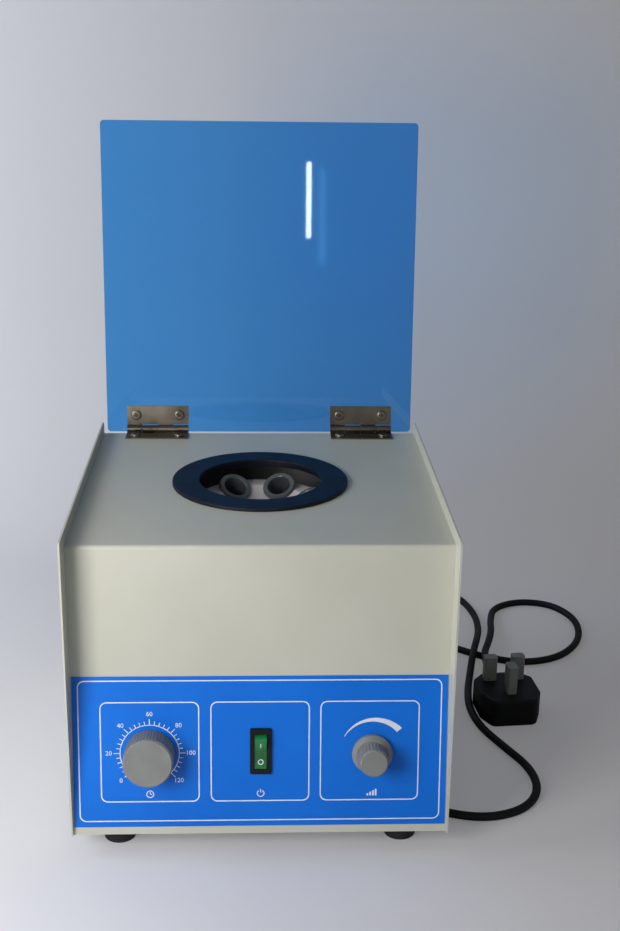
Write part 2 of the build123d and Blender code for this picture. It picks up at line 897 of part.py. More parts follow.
# Rotor
wall_offset = sleeve_radius + socket_clearance + head_wall
rim_depth = (rim_drop + wall_offset * tilt_sin) / tilt_cos
seat_rim = (rim_drop - sleeve_flange * tilt_cos) / tilt_sin
with BuildPart() as rotor_head:
    with BuildSketch(axis_view):
        with BuildLine():
            Polyline(
                (shaft_seat, hub_foot),
                (shaft_seat, nut_seat),
                (head_hub, nut_seat),
                along_socket(sleeve_flange, -head_inner),
                along_socket(sleeve_flange, -seat_rim),
                along_socket(rim_depth, wall_offset),
                along_socket(head_depth, wall_offset),
                along_socket(head_depth, -head_skirt),
                (head_web, nut_seat - head_floor),
                (head_hub + head_hub_step, nut_seat - head_floor),
                (head_hub + head_hub_step, hub_foot),
                close=True,
            )
        make_face()
    revolve(axis=spin_axis)
    for number in range(sleeve_count):
        with Locations(socket(number, sleeve_flange).location):
            Cylinder(sleeve_radius + socket_clearance, 3 * head_depth, mode=Mode.SUBTRACT)
            Cylinder(
                sleeve_flange_radius + clearance,
                head_depth,
                align=from_below,
                mode=Mode.SUBTRACT,
            )
rotor_head.part.label = "rotor_head"
export_step(rotor_head.part, "parts/rotor_head.step")

with BuildPart() as rotor_nut:
    with BuildSketch(Plane.XY.offset(nut_seat)):
        with Locations((0, axis_y)):
            RegularPolygon(rotor_nut_radius, 6)
            Circle(shaft_seat, mode=Mode.SUBTRACT)
    extrude(amount=rotor_nut_height)
rotor_nut.part.label = "rotor_nut"
export_step(rotor_nut.part, "parts/rotor_nut.step")

with BuildPart() as sleeve_blank:
    Cylinder(sleeve_flange_radius, sleeve_flange, align=from_above)
    Cylinder(sleeve_radius, sleeve_length, align=from_above)
    fillet(sleeve_blank.faces().sort_by(Axis.Z)[0].edges(), sleeve_round)
    Cylinder(
        sleeve_bore,
        sleeve_length - sleeve_bottom - cushion_height,
        align=from_above,
        mode=Mode.SUBTRACT,
    )
    Cylinder(
        cushion_radius + seat,
        sleeve_length - sleeve_bottom,
        align=from_above,
        mode=Mode.SUBTRACT,
    )
    chamfer(sleeve_blank.faces().sort_by(Axis.Z)[-1].edges(), sleeve_edge)

for number in range(sleeve_count):
    with BuildPart() as sleeve:
        with Locations(socket(number, 0.0).location):
            add(sleeve_blank.part)
    sleeve.part.label = f"sleeve_{number + 1}"
    export_step(sleeve.part, f"parts/sleeve_{number + 1}.step")

with BuildPart() as sleeve_cushions:
    for number in range(sleeve_count):
        with Locations(socket(number, sleeve_length - sleeve_bottom).location):
            Cylinder(cushion_radius, cushion_height, align=from_below)
sleeve_cushions.part.label = "sleeve_cushions"
export_step(sleeve_cushions.part, "parts/sleeve_cushions.step")

# Controls
shaft_bore = shaft_radius + running
with BuildPart() as timer_case:
    with BuildSketch(on_face(dial_x, dial_rise, -sheet)):
        RectangleRounded(timer_case_width, timer_case_height, timer_case_corner)
    extrude(amount=-timer_case_depth)
    with BuildSketch(on_face(dial_x, dial_rise, -sheet)):
        Circle(bushing_radius)
    extrude(amount=sheet + bushing_length)
    with BuildSketch(on_face(dial_x, dial_rise, bushing_length)):
        Circle(shaft_bore)
    extrude(amount=-shaft_reach - bushing_length - clearance, mode=Mode.SUBTRACT)
timer_case.part.label = "timer_case"
export_step(timer_case.part, "parts/timer_case.step")

with BuildPart() as speed_pot:
    with BuildSketch(on_face(gauge_x, gauge_rise, -sheet)):
        Circle(pot_radius)
        with Locations((0, -pot_radius)):
            Rectangle(pot_lug_width, 2 * pot_lug)
    extrude(amount=-pot_depth)
    with BuildSketch(on_face(gauge_x, gauge_rise, -sheet)):
        Circle(bushing_radius)
    extrude(amount=sheet + bushing_length)
    with BuildSketch(on_face(gauge_x, gauge_rise, bushing_length)):
        Circle(shaft_bore)
    extrude(amount=-shaft_reach - bushing_length - clearance, mode=Mode.SUBTRACT)
speed_pot.part.label = "speed_pot"
export_step(speed_pot.part, "parts/speed_pot.step")

with BuildPart() as panel_nuts:
    for x, rise in ((dial_x, dial_rise), (gauge_x, gauge_rise)):
        with BuildSketch(on_face(x, rise, label_thickness)):
            RegularPolygon(panel_nut_radius, 6)
            Circle(bushing_radius + seat, mode=Mode.SUBTRACT)
        extrude(amount=panel_nut_height)
panel_nuts.part.label = "panel_nuts"
export_step(panel_nuts.part, "parts/panel_nuts.step")

knob_foot = label_thickness + knob_gap
with BuildPart() as timer_shaft:
    with BuildSketch(on_face(dial_x, dial_rise, -shaft_reach)):
        Circle(shaft_radius)
    extrude(amount=shaft_reach + knob_foot + timer_knob_height - knob_crown)
timer_shaft.part.label = "timer_shaft"
export_step(timer_shaft.part, "parts/timer_shaft.step")

with BuildPart() as speed_shaft:
    with BuildSketch(on_face(gauge_x, gauge_rise, -shaft_reach)):
        Circle(shaft_radius)
    extrude(amount=shaft_reach + knob_foot + speed_knob_height - knob_crown)
speed_shaft.part.label = "speed_shaft"
export_step(speed_shaft.part, "parts/speed_shaft.step")

with BuildPart() as timer_knob:
    with BuildSketch(on_face(dial_x, dial_rise, knob_foot)):
        Circle(timer_knob_radius)
        with PolarLocations(timer_knob_radius + flute_radius - flute_bite, timer_knob_flutes):
            Circle(flute_radius, mode=Mode.SUBTRACT)
    extrude(amount=timer_knob_height - knob_edge)
    with BuildSketch(on_face(dial_x, dial_rise, knob_foot + timer_knob_height - knob_edge)):
        Circle(timer_knob_radius - flute_bite)
    extrude(amount=knob_edge, taper=knob_edge_bevel)
    with BuildSketch(on_face(dial_x, dial_rise, knob_foot)):
        Circle(timer_knob_radius - knob_wall)
    extrude(amount=nut_room, mode=Mode.SUBTRACT)
    with BuildSketch(on_face(dial_x, dial_rise, knob_foot)):
        Circle(shaft_radius + seat)
    extrude(amount=timer_knob_height - knob_crown, mode=Mode.SUBTRACT)
timer_knob.part.label = "timer_knob"
export_step(timer_knob.part, "parts/timer_knob.step")

with BuildPart() as speed_knob:
    with BuildSketch(on_face(gauge_x, gauge_rise, knob_foot)):
        Circle(speed_skirt_radius)
    extrude(amount=speed_skirt_height)
    with BuildSketch(on_face(gauge_x, gauge_rise, knob_foot + speed_skirt_height)):
        Circle(speed_skirt_radius)
    extrude(amount=speed_skirt_height, taper=skirt_bevel)
    with BuildSketch(on_face(gauge_x, gauge_rise, knob_foot)):
        Circle(speed_face_radius)
        with PolarLocations(speed_face_radius + flute_radius - flute_bite, speed_knob_flutes):
            Circle(flute_radius, mode=Mode.SUBTRACT)
    extrude(amount=speed_knob_height - knob_edge)
    with BuildSketch(on_face(gauge_x, gauge_rise, knob_foot + speed_knob_height - knob_edge)):
        Circle(speed_face_radius - flute_bite)
    extrude(amount=knob_edge, taper=knob_edge_bevel)
    with BuildSketch(on_face(gauge_x, gauge_rise, knob_foot)):
        Circle(panel_nut_radius + nut_room_gap)
    extrude(amount=nut_room, mode=Mode.SUBTRACT)
    with BuildSketch(on_face(gauge_x, gauge_rise, knob_foot)):
        Circle(shaft_radius + seat)
    extrude(amount=speed_knob_height - knob_crown, mode=Mode.SUBTRACT)
speed_knob.part.label = "speed_knob"
export_step(speed_knob.part, "parts/speed_knob.step")

bezel_face = label_thickness + bezel_lip
pivot_lift = bezel_face - pivot_drop
rocker_radius = rocker_height / 2
rocker_pivot = on_face(0, switch_rise, pivot_lift).origin
with BuildPart() as switch_housing:
    with BuildSketch(on_face(0, switch_rise, label_thickness)):
        RectangleRounded(bezel_width, bezel_height, bezel_corner)
    extrude(amount=bezel_lip, taper=bezel_bevel)
    with BuildSketch(on_face(0, switch_rise, label_thickness)):
        Rectangle(switch_body_width, switch_body_height)
    extrude(amount=-switch_body_depth)
    with BuildSketch(on_face(0, switch_rise, bezel_face)):
        Rectangle(rocker_width + 2 * clearance, rocker_height + 2 * clearance)
    extrude(amount=-pivot_drop - rocker_well, mode=Mode.SUBTRACT)
    with BuildSketch(Plane(origin=rocker_pivot, x_dir=(0, slope_sin, slope_cos), z_dir=(1, 0, 0))):
        Circle(pivot_radius + running)
    extrude(amount=rocker_width / 2 + pivot_length + clearance, both=True, mode=Mode.SUBTRACT)
    with BuildSketch(on_face(0, switch_rise, label_thickness - switch_body_depth)):
        with GridLocations(0, terminal_pitch, 1, terminal_count):
            Rectangle(terminal_width, terminal_thickness)
    extrude(amount=-terminal_length)
switch_housing.part.label = "switch_housing"
export_step(switch_housing.part, "parts/switch_housing.step")

rocker_side = Plane(
    origin=rocker_pivot,
    x_dir=Vector(0, slope_sin, slope_cos).rotate(Axis.X, rocker_throw),
    z_dir=(1, 0, 0),
)
rocker_rise = 2 * rocker_radius * tan(radians(rocker_throw))
with BuildPart() as switch_rocker:
    with BuildSketch(rocker_side):
        Circle(rocker_radius)
        with BuildLine():
            Polyline(
                (-2 * rocker_radius, rocker_crest + rocker_rise),
                (0, rocker_crest),
                (2 * rocker_radius, rocker_crest + rocker_rise),
                (2 * rocker_radius, -rocker_depth),
                (-2 * rocker_radius, -rocker_depth),
                close=True,
            )
        make_face(mode=Mode.INTERSECT)
    extrude(amount=rocker_width / 2, both=True)
    with BuildSketch(rocker_side):
        Circle(pivot_radius)
    extrude(amount=rocker_width / 2 + pivot_length, both=True)
switch_rocker.part.label = "switch_rocker"
export_step(switch_rocker.part, "parts/switch_rocker.step")

board_z = base_z + sheet + standoff_height
board_top = board_z + board_thickness
board_spots = [
    (board_x + side * (board_width / 2 - board_edge), board_y + end * (board_length / 2 - board_edge))
    for side in (-1, 1)
    for end in (-1, 1)
]
with BuildPart() as control_board:
    with BuildSketch(Plane.XY.offset(board_z)):
        with Locations((board_x, board_y)):
            Rectangle(board_width, board_length)
    extrude(amount=board_thickness)
    with BuildSketch(Plane.XY.offset(board_top)):
        with Locations((board_x + relay_x, board_y + relay_y)):
            Rectangle(relay_width, relay_length)
        with Locations((board_x + terminal_block_x, board_y + terminal_block_y)):
            Rectangle(terminal_block_width, terminal_block_length)
    extrude(amount=block_height)
    with BuildSketch(Plane.XY.offset(board_top)):
        with Locations(
            (board_x + input_capacitor_x, board_y),
            (board_x + output_capacitor_x, board_y + output_capacitor_y),
        ):
            Circle(capacitor_radius)
    extrude(amount=capacitor_height)
control_board.part.label = "control_board"
export_step(control_board.part, "parts/control_board.step")

with BuildPart() as triac_heatsink:
    with BuildSketch(Plane.XY.offset(board_top)):
        with Locations((board_x + heatsink_x, board_y + heatsink_y)):
            Rectangle(heatsink_base, heatsink_length)
            with Locations((heatsink_fin / 2, 0)):
                with GridLocations(0, heatsink_pitch, 1, heatsink_fins):
                    Rectangle(heatsink_fin, heatsink_fin_thickness)
    extrude(amount=heatsink_height)
triac_heatsink.part.label = "triac_heatsink"
export_step(triac_heatsink.part, "parts/triac_heatsink.step")

with BuildPart() as board_standoffs:
    with BuildSketch(Plane.XY.offset(base_z + sheet)):
        with Locations(*board_spots):
            RegularPolygon(standoff_radius, 6)
    extrude(amount=standoff_height)
board_standoffs.part.label = "board_standoffs"
export_step(board_standoffs.part, "parts/board_standoffs.step")

rear_face = Plane(origin=(0, panel_face, base_z + gland_rise), x_dir=(-1, 0, 0), z_dir=(0, 1, 0))
with BuildPart() as cord_gland:
    with BuildSketch(rear_face.offset(-gland_inside)):
        with Locations((-gland_x, 0)):
            Circle(gland_thread)
    extrude(amount=gland_inside)
    with BuildSketch(rear_face):
        with Locations((-gland_x, 0)):
            RegularPolygon(gland_nut, 6)
    extrude(amount=gland_collar)
    with BuildSketch(rear_face.offset(gland_collar)):
        with Locations((-gland_x, 0)):
            Circle(gland_thread + gland_dome_step)
    extrude(amount=gland_dome, taper=gland_dome_taper)
    with BuildSketch(rear_face.offset(-sheet)):
        with Locations((-gland_x, 0)):
            RegularPolygon(gland_nut, 6)
            Circle(gland_thread, mode=Mode.SUBTRACT)
    extrude(amount=-gland_collar)
cord_gland.part.label = "cord_gland"
export_step(cord_gland.part, "parts/cord_gland.step")

with BuildPart() as fuse_holder:
    with BuildSketch(rear_face.offset(-fuse_length)):
        with Locations((-fuse_x, 0)):
            Circle(fuse_radius)
    extrude(amount=fuse_length)
    with BuildSketch(rear_face):
        with Locations((-fuse_x, 0)):
            Circle(fuse_radius + fuse_rim)
    extrude(amount=fuse_collar)
    with BuildSketch(rear_face.offset(fuse_collar)):
        with Locations((-fuse_x, 0)):
            Circle(fuse_radius)
            with PolarLocations(fuse_radius, fuse_flutes):
                Circle(flute_radius, mode=Mode.SUBTRACT)
    extrude(amount=fuse_cap)
fuse_holder.part.label = "fuse_holder"
export_step(fuse_holder.part, "parts/fuse_holder.step")

# Lid and hinges
lid_back = lid_face.offset(-hinge_radius - lid_thickness)
with BuildPart() as lid_panel:
    with BuildSketch(lid_back):
        with Locations((0, lid_length / 2 - lid_drop)):
            RectangleRounded(lid_width, lid_length, lid_corner)
        with Locations(*[(x, hinge_screw_reach) for x in hinge_screw_xs]):
            Circle(screw_hole, mode=Mode.SUBTRACT)
    extrude(amount=lid_thickness)
lid_panel.part.label = "lid_panel"
export_step(lid_panel.part, "parts/lid_panel.step")

knuckle = hinge_width / knuckle_count
barrel_side = Plane(origin=(0, hinge_y, hinge_z), x_dir=(0, 1, 0), z_dir=(1, 0, 0))


def leaf(centre, flat, knuckles):
    """One hinge leaf: a drilled plate on the flat plane and every second knuckle."""
    with BuildPart() as piece:
        with BuildSketch(flat):
            with Locations((centre, hinge_radius + knuckle_gap + (hinge_leaf - knuckle_gap) / 2)):
                Rectangle(hinge_width, hinge_leaf - knuckle_gap)
            for number in knuckles:
                with Locations((centre - hinge_width / 2 + (number + 0.5) * knuckle, hinge_leaf / 4)):
                    Rectangle(knuckle - knuckle_gap, hinge_leaf / 2)
            for side in (-1, 1):
                with Locations((centre + side * hinge_screw_pitch / 2, hinge_screw_reach)):
                    Circle(screw_hole, mode=Mode.SUBTRACT)
        extrude(amount=hinge_sheet)
        barrel_x = flat.x_dir.X * centre
        for number in knuckles:
            middle = barrel_x + flat.x_dir.X * ((number + 0.5) * knuckle - hinge_width / 2)
            with BuildSketch(barrel_side.offset(middle)):
                Circle(hinge_radius)
            extrude(amount=(knuckle - knuckle_gap) / 2, both=True)
        with BuildSketch(barrel_side.offset(barrel_x)):
            Circle(hinge_pin + running)
        extrude(amount=hinge_width, both=True, mode=Mode.SUBTRACT)
    return piece.part


lid_leaf_flat = lid_face.offset(-hinge_radius)
base_leaf_flat = Plane(origin=(0, hinge_y, top_z), x_dir=(-1, 0, 0), z_dir=(0, 0, 1))
lid_leaf_pair = [leaf(side * hinge_centre, lid_leaf_flat, range(0, knuckle_count, 2)) for side in (-1, 1)]
with BuildPart() as hinge_lid_leaves:
    add(lid_leaf_pair)
hinge_lid_leaves.part.label = "hinge_lid_leaves"
export_step(hinge_lid_leaves.part, "parts/hinge_lid_leaves.step")

base_leaf_pair = [leaf(side * hinge_centre, base_leaf_flat, range(0, knuckle_count, 2)) for side in (-1, 1)]
with BuildPart() as hinge_base_leaves:
    add(base_leaf_pair)
hinge_base_leaves.part.label = "hinge_base_leaves"
export_step(hinge_base_leaves.part, "parts/hinge_base_leaves.step")

with BuildPart() as hinge_pins:
    for side in (-1, 1):
        with BuildSketch(barrel_side.offset(side * hinge_centre)):
            Circle(hinge_pin)
        extrude(amount=hinge_width / 2, both=True)
hinge_pins.part.label = "hinge_pins"
export_step(hinge_pins.part, "parts/hinge_pins.step")

lid_grip = hinge_sheet + lid_thickness
lid_screw = hinge_screw(lid_grip + hinge_nut_height + nut_show, lid_grip)
lid_screw_flat = lid_face.offset(-hinge_radius + hinge_sheet).location
with BuildPart() as lid_fixings:
    with Locations(*[lid_screw_flat * Location((x, hinge_screw_reach, 0)) for x in hinge_screw_xs]):
        add(lid_screw)
lid_fixings.part.label = "lid_fixings"
export_step(lid_fixings.part, "parts/lid_fixings.step")

base_grip = hinge_sheet + sheet
base_screw = hinge_screw(base_grip + hinge_nut_height + nut_show, base_grip)
with BuildPart() as hinge_base_screws:
    with Locations(*[(x, hinge_y - hinge_screw_reach, top_z + hinge_sheet) for x in hinge_screw_xs]):
        add(base_screw)
hinge_base_screws.part.label = "hinge_base_screws"
export_step(hinge_base_screws.part, "parts/hinge_base_screws.step")

# Supply lead
cord_route = [
    (68, 297, 39), (68, 321, 39), (67, 346, 30), (63, 370, 14), (53, 392, 5), (27, 405, 3),
    (-2, 398, 3), (-19, 373, 3), (-10, 329, 3), (2, 290, 3), (16, 250, 3), (27, 208, 3),
    (43, 166, 3), (58, 124, 3), (80, 88, 3), (104, 58, 3), (130, 40, 3), (158, 35, 3),
    (184, 46, 3), (198, 70, 3), (197, 100, 3), (183, 130, 3), (170, 160, 3), (166, 190, 3),
    (169, 218, 3), (175, 246, 3), (182, 275, 10), (190, 303, 10), (196, 333, 4), (198, 362, 3),
    (193, 392, 3), (180, 420, 3), (156, 441, 3), (126, 444, 3), (101, 426, 3), (93, 396, 3),
    (103, 366, 3), (124, 340, 3), (149, 317, 3), (172, 295, 3), (196, 277, 3), (224, 268, 3),
    (254, 276, 3), (276, 300, 3), (287, 330, 3), (287, 361, 3), (272, 388, 3), (243, 395, 3),
    (217, 380, 3), (209, 348, 5), (205, 319, 9), (198, 292, 11), (189.5, 268, 11), (189.5, 244, 11),
]
route = [Vector(x, front + y, z) for x, y, z in cord_route]
runs = [(b - a) for a, b in zip(route, route[1:])]
bend_radii = [
    bend_share * min(before.length, after.length) / tan(radians(before.get_angle(after) / 2))
    for before, after in zip(runs, runs[1:])
]
print("cord length", round(sum(run.length for run in runs)), "least bend radius", round(min(bend_radii), 1))

with BuildPart() as mains_cord:
    with BuildLine():
        FilletPolyline(*route, radius=bend_radii)
    with BuildSketch(Plane(origin=route[0], z_dir=(0, 1, 0))):
        Circle(cord_diameter / 2)
    sweep()
mains_cord.part.label = "mains_cord"
export_step(mains_cord.part, "parts/mains_cord.step")

relief_start = rear - sheet + gland_collar + gland_dome
with BuildPart() as cord_relief:
    with BuildSketch(Plane(origin=(gland_x, relief_start, base_z + gland_rise), z_dir=(0, 1, 0))):
        Circle(relief_radius)
    with BuildSketch(Plane(origin=route[0], z_dir=(0, 1, 0))):
        Circle(cord_diameter / 2 + relief_wall)
    loft()
cord_relief.part.label = "cord_relief"
export_step(cord_relief.part, "parts/cord_relief.step")

plug_floor = Plane(
    origin=(plug_x, front + plug_y, 0),
    x_dir=(cos(radians(plug_turn)), sin(radians(plug_turn)), 0),
    z_dir=(0, 0, 1),
)
relief_tip = route[-1]
relief_base = Vector(relief_tip.X, front + plug_y + plug_length / 2 - relief_root, relief_tip.Z)
with BuildPart() as plug_body:
    with BuildSketch(plug_floor) as outline:
        with BuildLine():
            Polyline(
                (-plug_width / 2, plug_foot_slant - plug_length / 2),
                (plug_foot_inset - plug_width / 2, -plug_length / 2),
                (plug_width / 2 - plug_foot_inset, -plug_length / 2),
                (plug_width / 2, plug_foot_slant - plug_length / 2),
                (plug_width / 2, plug_length / 2 - plug_neck_slant),
                (plug_width / 2 - plug_neck_inset, plug_length / 2),
                (plug_neck_inset - plug_width / 2, plug_length / 2),
                (-plug_width / 2, plug_length / 2 - plug_neck_slant),
                close=True,
            )
        make_face()
        fillet(outline.vertices(), plug_corner)
    extrude(amount=plug_height)
    fillet(plug_body.faces().filter_by(Axis.Z).edges(), plug_edge)
    with BuildSketch(Plane(origin=relief_base, z_dir=(0, 1, 0))):
        Circle(relief_radius)
    with BuildSketch(Plane(origin=relief_tip, z_dir=(0, 1, 0))):
        Circle(cord_diameter / 2 + relief_wall)
    loft()
plug_body.part.label = "plug_body"
export_step(plug_body.part, "parts/plug_body.step")

plug_face = plug_floor.offset(plug_height)
live_pin_spots = [(-pin_spread / 2, live_rise), (pin_spread / 2, live_rise)]
earth_pin_spot = (0, live_rise - earth_spread)
cap_wall_both = 2 * cap_thickness
with BuildPart() as plug_pins:
    with BuildSketch(plug_face):
        with Locations(*live_pin_spots):
            Rectangle(live_pin_width, pin_thickness)
    extrude(amount=live_pin_length)
    with BuildSketch(plug_face):
        with Locations(earth_pin_spot):
            Rectangle(pin_thickness, earth_pin_width)
    extrude(amount=earth_pin_length)
plug_pins.part.label = "plug_pins"
export_step(plug_pins.part, "parts/plug_pins.step")

with BuildPart() as pin_caps:
    with BuildSketch(plug_face):
        with Locations(*live_pin_spots):
            RectangleRounded(
                live_pin_width + cap_wall_both, pin_thickness + cap_wall_both, cap_thickness
            )
    extrude(amount=live_pin_length + cap_thickness)
    with BuildSketch(plug_face):
        with Locations(earth_pin_spot):
            RectangleRounded(
                pin_thickness + cap_wall_both, earth_pin_width + cap_wall_both, cap_thickness
            )
    extrude(amount=earth_pin_length + cap_thickness)
    with BuildSketch(plug_face):
        with Locations(*live_pin_spots):
            Rectangle(live_pin_width + 2 * slack, pin_thickness + 2 * slack)
    extrude(amount=live_pin_length + slack, mode=Mode.SUBTRACT)
    with BuildSketch(plug_face):
        with Locations(earth_pin_spot):
            Rectangle(pin_thickness + 2 * slack, earth_pin_width + 2 * slack)
    extrude(amount=earth_pin_length + slack, mode=Mode.SUBTRACT)
pin_caps.part.label = "pin_caps"
export_step(pin_caps.part, "parts/pin_caps.step")
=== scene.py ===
import json
import math

import bmesh
import bpy
from mathutils import Matrix, Vector


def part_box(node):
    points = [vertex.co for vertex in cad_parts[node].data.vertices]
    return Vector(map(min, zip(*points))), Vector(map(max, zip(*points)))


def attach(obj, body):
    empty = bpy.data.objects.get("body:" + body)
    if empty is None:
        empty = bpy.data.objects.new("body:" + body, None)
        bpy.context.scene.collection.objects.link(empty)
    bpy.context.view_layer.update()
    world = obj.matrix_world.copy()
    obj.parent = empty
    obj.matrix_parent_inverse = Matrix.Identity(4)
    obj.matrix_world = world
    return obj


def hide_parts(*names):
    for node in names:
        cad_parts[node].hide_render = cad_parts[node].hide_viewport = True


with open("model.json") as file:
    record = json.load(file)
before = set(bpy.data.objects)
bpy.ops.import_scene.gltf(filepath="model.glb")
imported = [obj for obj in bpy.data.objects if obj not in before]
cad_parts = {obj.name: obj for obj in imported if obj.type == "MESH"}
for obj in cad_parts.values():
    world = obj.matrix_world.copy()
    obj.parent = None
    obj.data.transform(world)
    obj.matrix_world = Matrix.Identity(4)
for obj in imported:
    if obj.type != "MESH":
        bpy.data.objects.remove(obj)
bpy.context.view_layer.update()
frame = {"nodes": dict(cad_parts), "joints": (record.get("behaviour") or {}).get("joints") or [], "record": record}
nodes = frame["nodes"]
joints = {joint["name"]: joint for joint in frame["joints"]}

# everything is in metres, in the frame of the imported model
mm = 0.001
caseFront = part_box("left_cheek")[0].y
timerAxis = Vector(joints["timer_turn"]["axis"])
faceOut = -timerAxis  # out of the control face
faceUp = Vector((0, faceOut.z, -faceOut.y))
faceRight = Vector((1, 0, 0))
# the control face's foot behind the cheeks' front, its height, and the label's thickness, in millimetres
face = {"toe": 2.3, "foot": 15.0, "label": 0.5}


def srgb(red, green, blue):
    channels = []
    for value in (red, green, blue):
        share = value / 255
        channels.append(share / 12.92 if share <= 0.04045 else ((share + 0.055) / 1.055) ** 2.4)
    return (*channels, 1.0)


# Materials
def newMaterial(name):
    material = bpy.data.materials.new(name)
    material.use_nodes = True
    tree = material.node_tree
    shader = tree.nodes["Principled BSDF"]
    return material, tree, shader


def addNoise(tree, scale, detail, stretch=(1, 1, 1)):
    coords = tree.nodes.new("ShaderNodeTexCoord")
    mapping = tree.nodes.new("ShaderNodeMapping")
    mapping.inputs["Scale"].default_value = stretch
    noise = tree.nodes.new("ShaderNodeTexNoise")
    noise.inputs["Scale"].default_value = scale
    noise.inputs["Detail"].default_value = detail
    tree.links.new(coords.outputs["Object"], mapping.inputs["Vector"])
    tree.links.new(mapping.outputs["Vector"], noise.inputs["Vector"])
    return noise


def addRamp(tree, source, stops):
    ramp = tree.nodes.new("ShaderNodeValToRGB")
    elements = ramp.color_ramp.elements
    while len(elements) < len(stops):
        elements.new(0.5)
    for element, (place, colour) in zip(elements, stops):
        element.position = place
        element.color = colour
    tree.links.new(source, ramp.inputs["Fac"])
    return ramp.outputs["Color"]


def addBump(tree, shader, source, depth):
    bump = tree.nodes.new("ShaderNodeBump")
    bump.inputs["Distance"].default_value = depth
    tree.links.new(source, bump.inputs["Height"])
    tree.links.new(bump.outputs["Normal"], shader.inputs["Normal"])


def addRoughness(tree, shader, source, limits):
    spread = tree.nodes.new("ShaderNodeMapRange")
    spread.inputs["From Min"].default_value, spread.inputs["From Max"].default_value = mottle["roughEdges"]
    spread.inputs["To Min"].default_value, spread.inputs["To Max"].default_value = limits
    tree.links.new(source, spread.inputs["Value"])
    tree.links.new(spread.outputs["Result"], shader.inputs["Roughness"])


# what every finish shares, and what a finish has unless it says otherwise
mottle = {"cloudDetail": 3.0, "grainDetail": 2.0, "colourEdges": (0.32, 0.68), "roughEdges": (0.3, 0.7)}
plain = {"metal": 0.0, "specular": 0.5, "coat": 0.0, "transmission": 0.0, "stretch": (1, 1, 1)}
coatRoughness = 0.1


def mottled(name, look):
    # a base colour that drifts a little, grain in the bump and a drifting roughness
    finish = {**plain, **look}
    material, tree, shader = newMaterial(name)
    cloud = addNoise(tree, finish["cloudScale"], mottle["cloudDetail"])
    stops = zip(mottle["colourEdges"], (finish["dark"], finish["light"]))
    colour = addRamp(tree, cloud.outputs["Fac"], list(stops))
    tree.links.new(colour, shader.inputs["Base Color"])
    grain = addNoise(tree, finish["grainScale"], mottle["grainDetail"], finish["stretch"])
    addBump(tree, shader, grain.outputs["Fac"], finish["grainDepth"])
    addRoughness(tree, shader, cloud.outputs["Fac"], finish["roughness"])
    shader.inputs["Metallic"].default_value = finish["metal"]
    shader.inputs["Specular IOR Level"].default_value = finish["specular"]
    shader.inputs["Coat Weight"].default_value = finish["coat"]
    shader.inputs["Coat Roughness"].default_value = coatRoughness
    shader.inputs["Transmission Weight"].default_value = finish["transmission"]
    return material


